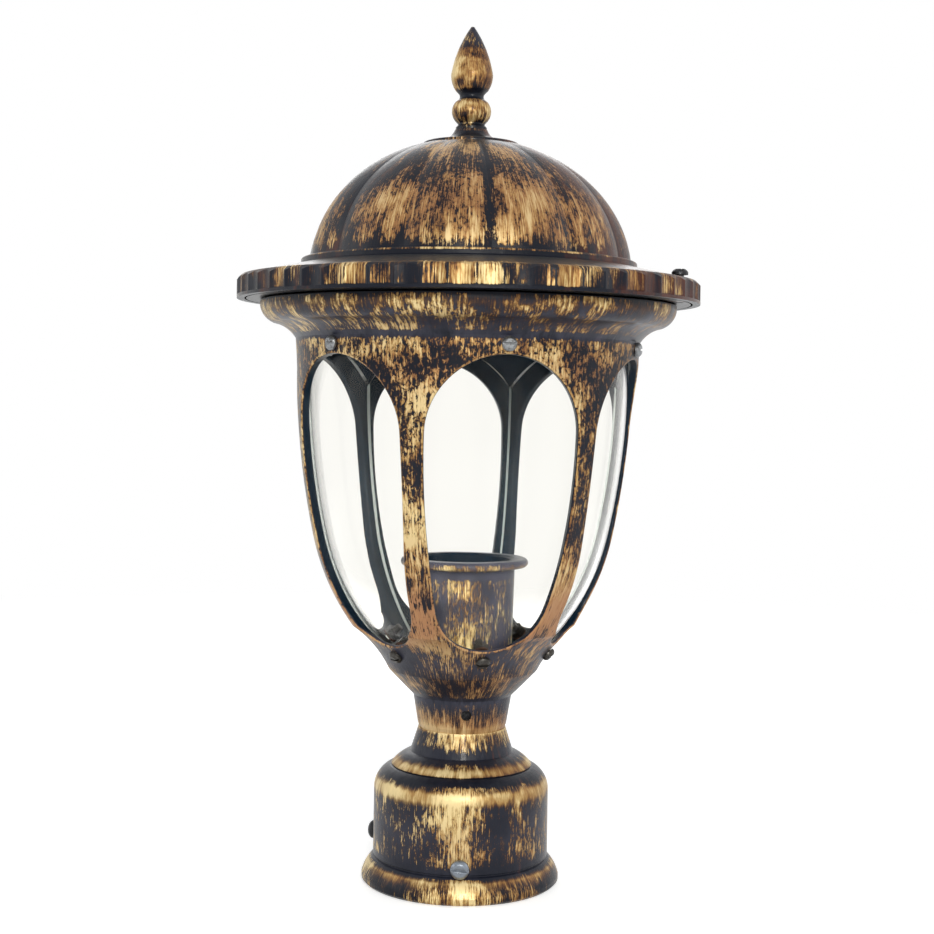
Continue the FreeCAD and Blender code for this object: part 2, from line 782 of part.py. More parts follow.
def upper_places(reach):
    """Places on the axes of the upper pane screws, a radius out from the upright axis."""
    places = []
    for turn in turns_of(int(d.window_count.value)):
        way = math.radians(turn)
        radius = reach.value
        spot = Vector(radius * math.sin(way), -radius * math.cos(way), pane_screw_top_height.value)
        places.append(Placement(spot, outward(turn)))
    return places


def lower_places(reach):
    """Places on the axes of the lower pane screws, measured out from the bowl's outer face."""
    places = []
    curve = d.bowl_low_radius.value + reach.value
    lean = math.asin((low_middle_height - pane_screw_low_height).value / d.bowl_low_radius.value)
    radius = low_middle_radius.value + curve * math.cos(lean)
    height = low_middle_height.value - curve * math.sin(lean)
    for turn in turns_of(int(d.window_count.value)):
        way = math.radians(turn)
        spot = Vector(radius * math.sin(way), -radius * math.cos(way), height)
        places.append(Placement(spot, outward(turn, math.degrees(lean))))
    return places


def make_pane(index, turn):
    """A bowed sheet that laps round its window and meets its neighbours behind the posts."""
    name = "pane_%d" % (index + 1)
    outer = d.cage_wall + d.seat_gap
    inner = outer + d.pane_thickness
    body = new_body(name + "_sheet")
    sketch = new_sketch(body, name + "_section")
    foot_outer = (bowl_radius_at(pane_foot_height, outer), pane_foot_height)
    foot_inner = (bowl_radius_at(pane_foot_height, inner), pane_foot_height)
    outline(sketch, bowl_up(outer, foot_outer) + [
        (band_radius - outer, pane_top_height),
        (band_radius - inner, pane_top_height),
    ] + bowl_down(inner, foot_inner))
    spin = body.newObject("PartDesign::Revolution", name + "_curve")
    spin.Profile = sketch
    spin.ReferenceAxis = (sketch, ["V_Axis"])
    spin.Midplane = True
    spin.setExpression("Angle", (as_size(360) / d.window_count - d.pane_parting).formula)
    body.Placement = Placement(Vector(), Rotation(Vector(0, 0, 1), turn - 90))
    blank = new_body(name + "_blank")
    edge = new_sketch(blank, name + "_edge")
    outline(edge, window_corners(d.pane_lap))
    pad = blank.newObject("PartDesign::Pad", name + "_through")
    pad.Profile = edge
    pad.setExpression("Length", (band_radius * 1.5).formula)
    blank.Placement = Placement(Vector(), Rotation(Vector(0, 0, 1), turn))
    sheet_cut = document.addObject("Part::Common", name + "_trimmed")
    sheet_cut.Base = body
    sheet_cut.Tool = blank
    upper = Placement(Vector(0, 0, pane_screw_top_height.value), outward(turn))
    lower = lower_places(-d.cage_wall * 4.5)[index]
    drills = [
        rod("pane_upper_drill", d.pane_screw_radius + d.hole_gap, band_radius * 2, upper),
        rod("pane_lower_drill", d.pane_screw_radius + d.hole_gap, d.cage_wall * 6, lower),
    ]
    keep(name, cut(name, sheet_cut, compound(name + "_drills", drills)))


def make_pane_fasteners():
    depth = d.cage_wall + d.seat_gap + d.pane_thickness
    stack = depth + d.seat_gap + d.pane_washer_thickness + d.pane_nut_height
    head_seat = band_radius + d.band_flare + d.touch_gap
    screw = slotted_screw("pane_screw", d.pane_screw_radius, stack + d.screw_tail + d.band_flare,
                          d.pane_head_radius, d.pane_head_height)
    flat = washer("pane_washer", d.pane_washer_radius, d.pane_washer_thickness,
                  d.pane_screw_radius + d.hole_gap)
    nut = hexagon_nut("pane_nut", d.pane_nut_flats, d.pane_nut_height, d.pane_screw_radius + d.touch_gap)
    washer_seat = -(depth + d.seat_gap + d.pane_washer_thickness)
    nut_seat = washer_seat - d.pane_nut_height - d.touch_gap
    ring("pane_screws_upper", screw, upper_places(head_seat))
    ring("pane_washers_upper", flat, upper_places(band_radius + washer_seat))
    ring("pane_nuts_upper", nut, upper_places(band_radius + nut_seat))
    lean = math.asin((low_middle_height - pane_screw_low_height).value / d.bowl_low_radius.value)
    ring("pane_screws_lower", screw, lower_places(d.seat_gap + d.touch_gap - dent_depth(lean)))
    ring("pane_washers_lower", flat, lower_places(washer_seat - d.touch_gap * 4))
    ring("pane_nuts_lower", nut, lower_places(nut_seat - d.touch_gap * 4))


# ---------------------------------------------------------------- lamp cup, stem and lampholder

def make_lamp():
    rim = d.cup_rim_height
    keep("lamp_cup", turned_body("lamp_cup_pressing", [
        (d.stem_radius + d.hole_gap, cup_foot),
        (d.cup_foot_radius - d.cup_wall * 0.6, cup_foot),
        (d.cup_foot_radius, cup_foot + d.cup_wall * 0.6),
        (d.cup_top_radius, cup_top - rim),
        (d.cup_top_radius + d.cup_rim_reach - rim * 0.5, cup_top - rim, rim * 0.5),
        (d.cup_top_radius + d.cup_rim_reach, cup_top - rim * 0.5, rim * 0.5),
        (d.cup_top_radius + d.cup_rim_reach - rim * 0.5, cup_top),
        (d.cup_top_radius, cup_top),
        (d.cup_top_radius - d.cup_wall, cup_top - d.cup_wall * 0.75),
        (d.cup_top_radius - d.cup_wall, cup_top - rim),
        (d.cup_foot_radius - d.cup_wall, cup_foot + d.cup_wall),
        (d.stem_radius + d.hole_gap, cup_foot + d.cup_wall),
    ]))
    nut_foot = cup_foot + d.cup_wall + d.touch_gap
    holder_foot = nut_foot + d.stem_nut_height + d.touch_gap
    stem_top = holder_foot + d.holder_foot_height * 0.6
    keep("stem", turned_body("stem_tube", [
        (d.stem_bore_radius, socket_top - d.stem_tail),
        (d.stem_radius, socket_top - d.stem_tail),
        (d.stem_radius, stem_top),
        (d.stem_bore_radius, stem_top),
    ]))
    bore = d.stem_radius + d.touch_gap
    upper = hexagon_nut("stem_nut_upper", d.stem_nut_flats, d.stem_nut_height, bore)
    upper.Placement = Placement(Vector(0, 0, nut_foot.value), Rotation())
    keep("stem_nut_upper", upper)
    flat = washer("stem_washer", d.stem_washer_radius, d.stem_washer_thickness, d.stem_radius + d.hole_gap)
    washer_foot = socket_top - d.stem_washer_thickness - d.touch_gap
    flat.Placement = Placement(Vector(0, 0, washer_foot.value), Rotation())
    keep("stem_washer", flat)
    lower = hexagon_nut("stem_nut_lower", d.stem_nut_flats, d.stem_nut_height, bore)
    seat = socket_top - d.stem_washer_thickness - d.stem_nut_height - d.touch_gap * 2
    lower.Placement = Placement(Vector(0, 0, seat.value), Rotation(Vector(0, 0, 1), 20))
    keep("stem_nut_lower", lower)
    top = holder_foot + d.holder_height
    cavity = top - d.holder_cavity_depth
    shell_outer = d.shell_radius + d.shell_wall
    bend = d.holder_shoulder
    soft = d.holder_round
    waist = holder_foot + d.holder_foot_height
    keep("lampholder_body", turned_body("holder_ceramic", [
        (bore, holder_foot),
        (d.holder_foot_radius - soft, holder_foot),
        (d.holder_foot_radius, holder_foot + soft),
        (d.holder_foot_radius, waist, -bend),
        (d.holder_radius - bend * 0.7, waist + bend, bend),
        (d.holder_radius, waist + bend * 2),
        (d.holder_radius, top - bend * 2),
        (d.holder_rim_radius, top - bend * 1.3),
        (d.holder_rim_radius, top - soft),
        (d.holder_rim_radius - soft, top),
        (shell_outer + d.touch_gap, top),
        (shell_outer + d.touch_gap, cavity),
        (bore, cavity),
    ]))
    shell_foot = cavity + d.shell_rise
    keep("lampholder_shell", turned_body("holder_shell", [
        (d.shell_radius, shell_foot),
        (shell_outer, shell_foot),
        (shell_outer, top - soft * 2),
        (d.shell_radius, top - soft * 2),
    ]))
    make_contact(cavity + d.touch_gap)


def make_contact(foot):
    """A sprung tongue: a flat foot on the lampholder's floor that rises to the middle."""
    body = new_body("contact_tongue")
    sketch = new_sketch(body, "contact_side")
    half = d.contact_length / 2
    thick = d.contact_thickness
    outline(sketch, [
        (-half, foot),
        (-half * 0.5, foot),
        (half * 0.3, foot + d.contact_rise),
        (half * 0.6, foot + d.contact_rise),
        (half * 0.6, foot + d.contact_rise + thick),
        (half * 0.3 - thick * 0.5, foot + d.contact_rise + thick),
        (-half * 0.5 - thick * 0.5, foot + thick),
        (-half, foot + thick),
    ])
    pad = body.newObject("PartDesign::Pad", "contact_strip")
    pad.Profile = sketch
    pad.Midplane = True
    pad.setExpression("Length", d.contact_width.formula)
    keep("centre_contact", body)


# ---------------------------------------------------------------- roof

def dome_levels(inset, low_height, high_height, count=8):
    """Radius and height of each level of the dome's ellipse, drawn in by an inset."""
    reach = (d.dome_radius - inset).value
    rise = (d.dome_rise - inset).value
    middle = dome_middle_height.value
    low = math.asin((low_height.value - middle) / rise)
    high = math.asin((high_height.value - middle) / rise)
    angles = [low + (high - low) * index / (count - 1) for index in range(count)]
    return [(reach * math.cos(angle), middle + rise * math.sin(angle)) for angle in angles]


def lobed_wire(radius, height):
    """One level of the dome: equal outward arcs that meet at sharp creases."""
    count = int(d.lobe_count.value)
    share = radius / d.dome_radius.value
    deep = d.crease_depth.value * share
    start = -90.0 + d.dome_turn.value
    edges = []
    for index in range(count):
        angles = [math.radians(start + 360.0 * (index + part) / count) for part in (0, 0.5, 1)]
        reaches = [radius - deep, radius, radius - deep]
        spots = [Vector(reach * math.cos(angle), reach * math.sin(angle), height)
                 for reach, angle in zip(reaches, angles)]
        edges.append(Part.Arc(*spots).toShape())
    return Part.Wire(edges)


def make_lobes():
    """The dome's solid: levels that follow an ellipse from the step ring to the crown."""
    wires = []
    for radius, height in dome_levels(as_size(0), step_ring_top - d.step_ring_round, crown_foot):
        wires.append(lobed_wire(radius, height))
    item = document.addObject("Part::Feature", "dome_lobes")
    item.Shape = Part.makeLoft(wires, True, False)
    return item


def make_crown():
    round_edge = d.crown_edge * 0.5
    return turned_body("crown", [
        (zero, crown_foot - d.crown_root),
        (d.crown_radius - d.crown_root, crown_foot - d.crown_root),
        (d.crown_radius, crown_foot),
        (d.crown_radius, crown_edge_top - round_edge, round_edge),
        (d.crown_radius - round_edge, crown_edge_top),
        (d.hump_radius, hump_foot, -(d.hump_rise * 1.6)),
        (d.finial_foot_radius + d.hump_margin, crown_top),
        (zero, crown_top),
    ])


def make_brim():
    soft = d.step_ring_round
    body = turned_body("brim", [
        (zero, flange_foot),
        (d.skirt_radius, flange_foot),
        (d.skirt_radius, skirt_top - d.brim_edge),
        (d.skirt_radius - d.brim_edge, skirt_top),
        (d.step_ring_radius + soft, brim_top),
        (d.step_ring_radius, brim_top + soft * 0.6),
        (d.step_ring_radius, step_ring_top - soft, soft),
        (d.step_ring_radius - soft, step_ring_top),
        (zero, step_ring_top),
    ])
    lip_sketch = new_sketch(body, "flute_outline", "XY_Plane")
    middle = d.skirt_radius - d.flute_depth + d.flute_radius
    circle = Part.Circle(Vector(middle.value, 0, 0), Vector(0, 0, 1), d.flute_radius.value)
    lip_sketch.addGeometry(circle, False)
    lip_sketch.addConstraint([
        Sketcher.Constraint("PointOnObject", 0, 3, -1),
        Sketcher.Constraint("DistanceX", 0, 3, middle.value),
        Sketcher.Constraint("Radius", 0, d.flute_radius.value),
    ])
    lip_sketch.setExpression("Constraints[1]", middle.formula)
    lip_sketch.setExpression("Constraints[2]", d.flute_radius.formula)
    lip_sketch.setExpression("AttachmentOffset.Base.z", (flange_foot + d.skirt_lip).formula)
    flute = body.newObject("PartDesign::Pocket", "flute")
    flute.Profile = lip_sketch
    flute.Type = "Length"
    flute.Reversed = True
    flute.setExpression("Length", (d.skirt_height * 2).formula)
    pattern = body.newObject("PartDesign::PolarPattern", "flutes")
    pattern.Originals = [flute]
    upright = [item for item in body.Origin.OriginFeatures if item.Role == "Z_Axis"][0]
    pattern.Axis = (upright, [""])
    pattern.Angle = 360
    pattern.setExpression("Occurrences", d.flute_count.formula)
    body.Tip = pattern
    half_pitch = 180 / d.flute_count.value
    body.Placement = Placement(Vector(), Rotation(Vector(0, 0, 1), d.dome_turn.value + half_pitch - 90))
    return body


def make_hollow():
    """The room inside the roof: skirt, flat seat for the gasket, then up into the dome."""
    wall = d.roof_wall
    land = flange_radius - d.gasket_width - wall
    ceiling = brim_top - wall
    skirt_room = turned_body("skirt_room", [
        (zero, flange_foot - wall),
        (skirt_inner_radius, flange_foot - wall),
        (skirt_inner_radius, gasket_top),
        (land, gasket_top),
        (land - wall, ceiling - wall * 0.3),
        (d.step_ring_radius - wall * 1.8, ceiling),
        (zero, ceiling),
    ])
    wires = []
    for radius, height in dome_levels(wall + d.crease_depth, ceiling - wall * 0.5, crown_foot - wall):
        wires.append(Part.Wire(Part.Circle(Vector(0, 0, height), Vector(0, 0, 1), radius).toShape()))
    dome_room = document.addObject("Part::Feature", "dome_room")
    dome_room.Shape = Part.makeLoft(wires, True, False)
    return [skirt_room, dome_room]


def roof_screw_places(height):
    """Upright places on the circle of the roof screws."""
    places = []
    for turn in turns_of(int(d.roof_screw_count.value), d.roof_screw_turn.value):
        way = math.radians(turn)
        circle = roof_screw_circle.value
        spot = Vector(circle * math.sin(way), -circle * math.cos(way), height.value)
        places.append(Placement(spot, Rotation()))
    return places


def brim_height_at(radius):
    """The height of the brim's sloping top at a radius."""
    run = (d.skirt_radius - d.brim_edge) - (d.step_ring_radius + d.step_ring_round)
    return skirt_top + d.brim_rise * ((d.skirt_radius - d.brim_edge) - radius) / run


def make_roof():
    outside = document.addObject("Part::MultiFuse", "roof_outside")
    outside.Shapes = [make_brim(), make_lobes(), make_crown()]
    drills = [rod("roof_screw_drill", d.roof_screw_radius + d.hole_gap, d.skirt_height * 3, place)
              for place in roof_screw_places(flange_foot - d.flange_thickness)]
    stud_hole = rod("stud_drill", d.stud_radius + d.hole_gap, d.stud_length * 2, Placement())
    stud_hole.setExpression("Placement.Base.z", (crown_foot - d.roof_wall * 2).formula)
    tools = document.addObject("Part::MultiFuse", "roof_inside")
    tools.Shapes = make_hollow() + drills + [stud_hole]
    keep("roof_cover", cut("roof_cover", outside, tools))
    rim = flange_radius - d.gasket_margin
    band = turned_body("gasket_ring", [
        (rim - d.gasket_width, flange_top),
        (rim, flange_top),
        (rim, gasket_top),
        (rim - d.gasket_width, gasket_top),
    ])
    holes = [rod("gasket_drill", d.roof_screw_radius + d.hole_gap, d.skirt_height * 3, place)
             for place in roof_screw_places(flange_foot - d.flange_thickness)]
    keep("roof_gasket", cut("roof_gasket", band, compound("gasket_drills", holes)))
    head_seat = brim_height_at(roof_screw_circle - d.roof_head_radius) + d.touch_gap
    screw = slotted_screw("roof_screw", d.roof_screw_radius, head_seat - flange_foot - d.seat_gap,
                          d.roof_head_radius, d.roof_head_height)
    ring("roof_screws", screw, roof_screw_places(head_seat))


def make_finial():
    foot = crown_top + d.touch_gap
    ball = foot + d.finial_ball_rise
    waist = foot + d.finial_waist_rise
    bud = foot + d.finial_bud_rise
    tip = foot + d.finial_height
    calyx = foot + d.finial_calyx_rise
    side = d.finial_ball_radius - d.finial_ball_cut
    keep("finial", turned_body("finial_turning", [
        (zero, foot - d.stud_length),
        (d.stud_radius - d.stud_chamfer, foot - d.stud_length),
        (d.stud_radius, foot - d.stud_length + d.stud_chamfer),
        (d.stud_radius, foot),
        (d.finial_foot_radius, foot),
        (d.finial_foot_radius, foot + d.finial_foot_height),
        (d.finial_neck_radius, foot + d.finial_foot_height * 2),
        (d.finial_neck_radius, ball - d.finial_ball_half - d.finial_ball_cut),
        (side, ball - d.finial_ball_half, d.finial_ball_radius * 0.75),
        (side, ball + d.finial_ball_half),
        (d.finial_waist_radius, waist - d.finial_waist_half, -d.finial_waist_curve),
        (d.finial_waist_radius, waist + d.finial_waist_half),
        (d.finial_calyx_radius, calyx, d.finial_calyx_curve),
        (d.finial_bud_radius, bud, d.finial_bud_curve),
        (d.finial_tip_radius, tip),
        (zero, tip),
    ]))
    washer_top = crown_foot - d.roof_wall - d.touch_gap
    flat = washer("finial_washer", d.finial_washer_radius, d.finial_washer_thickness,
                  d.stud_radius + d.hole_gap)
    flat.Placement = Placement(Vector(0, 0, (washer_top - d.finial_washer_thickness).value), Rotation())
    keep("finial_washer", flat)
    nut = hexagon_nut("finial_nut", d.finial_nut_flats, d.finial_nut_height, d.stud_radius + d.touch_gap)
    seat = washer_top - d.finial_washer_thickness - d.finial_nut_height - d.touch_gap
    nut.Placement = Placement(Vector(0, 0, seat.value), Rotation())
    keep("finial_nut", nut)


def make_neck_screws():
    """Three sunk slotted screws whose tips sit in the spigot's groove."""
    tip = d.spigot_radius - d.spigot_groove + d.touch_gap
    end = collar_radius - d.neck_screw_sink
    body = new_body("neck_screw")
    sketch = new_sketch(body, "neck_screw_section")
    outline(sketch, [
        (zero, tip),
        (d.neck_screw_radius * 0.6, tip),
        (d.neck_screw_radius, tip + d.neck_screw_radius * 0.4),
        (d.neck_screw_radius, end),
        (zero, end),
    ])
    spin = body.newObject("PartDesign::Revolution", "neck_screw_turned")
    spin.Profile = sketch
    spin.ReferenceAxis = (sketch, ["V_Axis"])
    spin.Angle = 360
    places = [Placement(Vector(0, 0, neck_screw_height.value), outward(turn))
              for turn in turns_of(int(d.neck_screw_count.value), d.neck_screw_turn.value)]
    ring("neck_screws", body, places)


# ---------------------------------------------------------------- build, check and write

make_fitter()
make_clamp_screw("post_screw_front", d.front_clamp_height, d.front_clamp_turn)
make_clamp_screw("post_screw_left", d.left_clamp_height, d.left_clamp_turn)
make_clamp_screw("post_screw_right", d.right_clamp_height, d.right_clamp_turn)
make_cage()
make_neck_screws()
for index, turn in enumerate(turns_of(int(d.window_count.value))):
    make_pane(index, turn)
make_pane_fasteners()
make_lamp()
make_roof()
make_finial()
document.recompute()

for item in document.Objects:
    if "Invalid" in item.State or "Error" in item.State:
        raise RuntimeError("failed object: " + item.Name)

os.makedirs("parts", exist_ok=True)
for name, item in nodes:
    shape = item.Shape
    if shape.isNull() or not shape.isValid():
        raise RuntimeError("bad shape: " + name)
    shape.exportStep("parts/%s.step" % name)
    print(name, len(shape.Solids), round(shape.Volume), shape.BoundBox)
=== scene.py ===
import collections
import math

import bmesh
import bpy
from mathutils import Matrix, Vector


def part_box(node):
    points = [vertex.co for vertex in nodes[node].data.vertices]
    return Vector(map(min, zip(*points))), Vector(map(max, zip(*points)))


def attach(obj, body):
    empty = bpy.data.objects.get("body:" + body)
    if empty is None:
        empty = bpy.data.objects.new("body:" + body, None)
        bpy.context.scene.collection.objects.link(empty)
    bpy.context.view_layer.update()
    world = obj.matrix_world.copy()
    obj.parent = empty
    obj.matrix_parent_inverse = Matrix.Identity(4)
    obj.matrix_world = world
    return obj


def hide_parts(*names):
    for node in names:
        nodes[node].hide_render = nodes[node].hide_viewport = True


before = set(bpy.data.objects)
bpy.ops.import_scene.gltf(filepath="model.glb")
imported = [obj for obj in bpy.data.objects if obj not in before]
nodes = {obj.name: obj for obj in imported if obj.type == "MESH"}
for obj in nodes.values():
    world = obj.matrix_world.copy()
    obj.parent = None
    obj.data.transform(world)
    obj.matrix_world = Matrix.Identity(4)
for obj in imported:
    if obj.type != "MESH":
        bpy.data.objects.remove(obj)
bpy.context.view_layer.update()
scene = bpy.context.scene
scene.view_settings.view_transform = "Standard"

# ---------------------------------------------------------------- camera
# The photograph shows the lantern from a little left of its front window, with the eye level with the upper
# part of the windows.  The distance, the lens shifted down and the slight turn about the line of sight are
# set so that the outline fits the photograph.
picture_pixels = 934
focal_pixels = 1620
shift_pixels = -67
sensor_width = 36.0
eye_turn = math.radians(-12.5)
eye_distance = 0.81
eye_height = 0.2382
eye_roll = math.radians(0.9)


def way_out(turn):
    """The level way out of the lantern's axis at a turn, taken from the front towards +X."""
    return Vector((math.sin(turn), -math.cos(turn), 0.0))


camera_data = bpy.data.cameras.new("photo_camera")
camera_data.sensor_width = sensor_width
camera_data.lens = sensor_width * focal_pixels / picture_pixels
camera_data.shift_y = shift_pixels / picture_pixels
camera_data.clip_start = 0.01
camera = bpy.data.objects.new("photo_camera", camera_data)
scene.collection.objects.link(camera)
scene.camera = camera
eye = way_out(eye_turn) * eye_distance + Vector((0.0, 0.0, eye_height))
stand = Matrix.Translation(eye) @ Matrix.Rotation(eye_turn, 4, "Z")
camera.matrix_world = stand @ Matrix.Rotation(math.radians(90), 4, "X") @ Matrix.Rotation(eye_roll, 4, "Z")

# ---------------------------------------------------------------- room
# A white room with a pale floor.  Seen directly, in a reflection or through a pane, the room is plain white.
# The floor keeps the lantern's shadow close to it, runs out into the white room further off, and is clear
# from underneath.
white = (1.0, 1.0, 1.0, 1.0)
soft_white = (0.94, 0.97, 1.0, 1.0)
soft_strength = 0.36
floor_size = 6.0
floor_drop = 0.0005
floor_grey = (0.85, 0.85, 0.85, 1)
floor_gone = (0.0, 0.0, 0.0, 1)
glow_reach = (0.25, 0.8)
glow_strength = (0.55, 1.0)
grey_reach = (0.6, 1.2)
lantern_middle = Vector((0, 0, 0.22))


def feed(paint, socket, value):
    """Gives a socket a plain value, or links another result to it."""
    if isinstance(value, bpy.types.NodeSocket):
        paint.links.new(value, socket)
    else:
        socket.default_value = value


def reckon(paint, operation, *terms, clamp=False):
    """A sum, product or other plain number worked out from others."""
    item = paint.nodes.new("ShaderNodeMath")
    item.operation = operation
    item.use_clamp = clamp
    for socket, value in zip(item.inputs, terms):
        feed(paint, socket, value)
    return item.outputs[0]


def ease(paint, value, low, high, start=0.0, end=1.0):
    """A soft step from start to end as the value goes from low to high."""
    item = paint.nodes.new("ShaderNodeMapRange")
    item.interpolation_type = "SMOOTHSTEP"
    for socket, number in zip(item.inputs, (value, low, high, start, end)):
        feed(paint, socket, number)
    return item.outputs[0]


def lay_over(paint, share, under, over):
    """One colour laid over another, by a share from 0 to 1."""
    item = paint.nodes.new("ShaderNodeMix")
    item.data_type = "RGBA"
    feed(paint, item.inputs["Factor"], share)
    feed(paint, item.inputs["A"], under)
    feed(paint, item.inputs["B"], over)
    return item.outputs["Result"]


def swap_over(paint, share, under, over):
    """One whole surface in place of another, by a share from 0 to 1."""
    item = paint.nodes.new("ShaderNodeMixShader")
    feed(paint, item.inputs["Fac"], share)
    feed(paint, item.inputs[1], under)
    feed(paint, item.inputs[2], over)
    return item.outputs[0]


def finish_with(paint, kind, surface):
    """Makes a surface the result of its node tree."""
    out = [item for item in paint.nodes if item.type == kind][0]
    feed(paint, out.inputs["Surface"], surface)


def seen_share(paint):
    """1 where something is seen directly, through a pane or in a reflection; 0 where it only gives light."""
    rays = paint.nodes.new("ShaderNodeLightPath").outputs
    seen = reckon(paint, "MAXIMUM", rays["Is Camera Ray"], rays["Is Transmission Ray"])
    return reckon(paint, "MAXIMUM", seen, rays["Is Glossy Ray"])


def background(paint, colour, strength):
    """Light of one colour from all round."""
    item = paint.nodes.new("ShaderNodeBackground")
    item.inputs["Color"].default_value = colour
    item.inputs["Strength"].default_value = strength
    return item.outputs[0]


def bare_paint(name):
    """A new material with its node tree and its one plain shader."""
    material = bpy.data.materials.new(name)
    material.use_nodes = True
    return material, material.node_tree, material.node_tree.nodes["Principled BSDF"]


world = bpy.data.worlds.new("white_room")
scene.world = world
world.use_nodes = True
sky = world.node_tree
sky.nodes.clear()
sky.nodes.new("ShaderNodeOutputWorld")
room_glow = background(sky, soft_white, soft_strength)
room_white = background(sky, white, 1.0)
finish_with(sky, "OUTPUT_WORLD", swap_over(sky, seen_share(sky), room_glow, room_white))

floor_paint, floor_tree, floor_shader = bare_paint("floor_paint")
floor_spot = floor_tree.nodes.new("ShaderNodeTexCoord").outputs["Object"]
floor_length = floor_tree.nodes.new("ShaderNodeVectorMath")
floor_length.operation = "LENGTH"
feed(floor_tree, floor_length.inputs[0], floor_spot)
floor_reach = floor_length.outputs["Value"]
floor_fade = ease(floor_tree, floor_reach, *grey_reach)
feed(floor_tree, floor_shader.inputs["Base Color"], lay_over(floor_tree, floor_fade, floor_grey, floor_gone))
floor_glow = reckon(floor_tree, "MULTIPLY", seen_share(floor_tree),
                    ease(floor_tree, floor_reach, *glow_reach, *glow_strength))
feed(floor_tree, floor_shader.inputs["Emission Strength"], floor_glow)
floor_shader.inputs["Emission Color"].default_value = white
floor_shader.inputs["Roughness"].default_value = 0.9
floor_shader.inputs["Specular IOR Level"].default_value = 0.0
under_side = floor_tree.nodes.new("ShaderNodeNewGeometry").outputs["Backfacing"]
clear_side = floor_tree.nodes.new("ShaderNodeBsdfTransparent").outputs[0]
floor_surface = swap_over(floor_tree, under_side, floor_shader.outputs[0], clear_side)
finish_with(floor_tree, "OUTPUT_MATERIAL", floor_surface)

floor_shape = bmesh.new()
bmesh.ops.create_grid(floor_shape, x_segments=1, y_segments=1, size=floor_size)
bmesh.ops.translate(floor_shape, verts=floor_shape.verts, vec=(0, 0, -floor_drop))
floor_mesh = bpy.data.meshes.new("floor")
floor_shape.to_mesh(floor_mesh)
floor_shape.free()
floor_mesh.materials.append(floor_paint)
floor = bpy.data.objects.new("floor", floor_mesh)
scene.collection.objects.link(floor)


def lamp(name, turn, reach, height, size, power, tint=(1.0, 1.0, 1.0)):
    """A square soft lamp out from the lantern at a turn in degrees, looking at the lantern's middle."""
    data = bpy.data.lights.new(name, "AREA")
    data.size = size
    data.energy = power
    data.color = tint
    item = bpy.data.objects.new(name, data)
    item.visible_transmission = False
    scene.collection.objects.link(item)
    place = way_out(math.radians(turn)) * reach + Vector((0.0, 0.0, height))
    item.location = place
    item.rotation_euler = (lantern_middle - place).to_track_quat("-Z", "Y").to_euler()


lamp("key_lamp", turn=-8, reach=1.3, height=0.62, size=0.26, power=9.5, tint=(1.0, 0.97, 0.9))
lamp("left_lamp", turn=-100, reach=1.5, height=0.8, size=0.9, power=3.5)
lamp("right_lamp", turn=80, reach=1.5, height=0.8, size=0.9, power=3.5)
lamp("back_lamp", turn=170, reach=1.6, height=0.9, size=0.9, power=5.0)

# ---------------------------------------------------------------- post fitter
# The post fitter is one aluminium casting that slips over the post.  Its black enamel is dry-brushed by hand
# with gold paint, mostly up and down, so the gold lies in ragged streaks and rubs off on the raised rings.
enamel_black = (0.005, 0.007, 0.014, 1)
warm_shade_red = (0.088, 0.022, 0.009, 1)
reflection_blue_grey = (0.072, 0.074, 0.108, 1)
enamel_wash = (0.060, 0.026, 0.012, 1)
enamel_inside = (0.004, 0.014, 0.028, 1)
copper_gold = (0.45, 0.225, 0.110, 1)
edge_gleam = (0.95, 0.93, 0.76, 1)
gold_tones = [
    (0.24, (0.075, 0.028, 0.012)),
    (0.42, (0.180, 0.080, 0.027)),
    (0.55, (0.330, 0.175, 0.050)),
    (0.68, (0.530, 0.350, 0.130)),
    (0.84, (0.880, 0.715, 0.370)),
]
cloud_size = 24.0
fleck_size = 1.7
fleck_flatness = 0.6
lump_size = 7.0
hairs_in_stroke = 7.5
stroke_length = 1.6
stroke_shift = 7.3
cloud_shift = (31.0, 17.0)
hair_raggedness = 8.0
stroke_raggedness = 22.0
no_warm_shade = -0.4

# How much each grain counts in the score of gold, and the scores between which gold begins and lies thick.
hair_weight = 1.75
hair_weight_in_flecks = 0.65
fleck_weight = 2.2
stroke_weight = 0.85
cloud_weight = 0.8
groove_weight = 2.0
gold_begins = (-0.03, 0.06)
gold_thick = (0.0, 0.3)
gold_film = (-0.2, 0.0, 0.0, 0.55)
ring_thick = (0.1, 0.45)
ring_rubbed = (0.02, 0.34, 0.0, 0.92)
hair_rubbed = 0.22
stroke_rubbed = 0.4

# How much paler or browner the gold gets.
stroke_shade = 0.7
hair_shade = 1.35
hair_shade_lost = -0.9
rubbed_shade = 0.17
thick_shade = 0.14
warm_shade_on_gold = -0.34

# Where a point lies: its place in mm, its radius, height, turn in degrees and the way out of the axis.
Spot = collections.namedtuple("Spot", "place radius height turn outward")

# How a piece is brushed.  hair is how many hairs' widths lie on the radius, stretch a hair's length in mm,
# and lean how much a change of radius counts as way along the side.  seed gives each piece streaks of its
# own.  By height, bands give more or less gold, rings the gold rubbed on raised rings and kept out of
# grooves, flecks and coppers the shares of fine broken flecks and of redder gold, and a further list the
# share of a painted reflection, dull blue-grey in the black.  By turn, sides give more gold towards the
# front and less round the sides, partly the paint's own spread and partly a painted fall-off of the light
# from the lamp by the camera; a further list by turn says where a painted warm shade makes the black
# red-brown and the gold darker.
Brushing = collections.namedtuple(
    "Brushing", "hair stretch lean seed bands rings sides flecks hazes coppers reds")

# The paint's grains, each from 0 to 1: fine hairs, broad strokes, clouds and flecks.
Grains = collections.namedtuple("Grains", "fine broad cloud fleck")


def reckon_place(paint, operation, *terms, scale=None):
    """A place or a way worked out from others, or a plain number for a length or a dot product."""
    item = paint.nodes.new("ShaderNodeVectorMath")
    item.operation = operation
    for socket, value in zip(item.inputs, terms):
        feed(paint, socket, value)
    if scale is not None:
        feed(paint, item.inputs["Scale"], scale)
    return item.outputs["Value" if operation in ("LENGTH", "DOT_PRODUCT") else "Vector"]


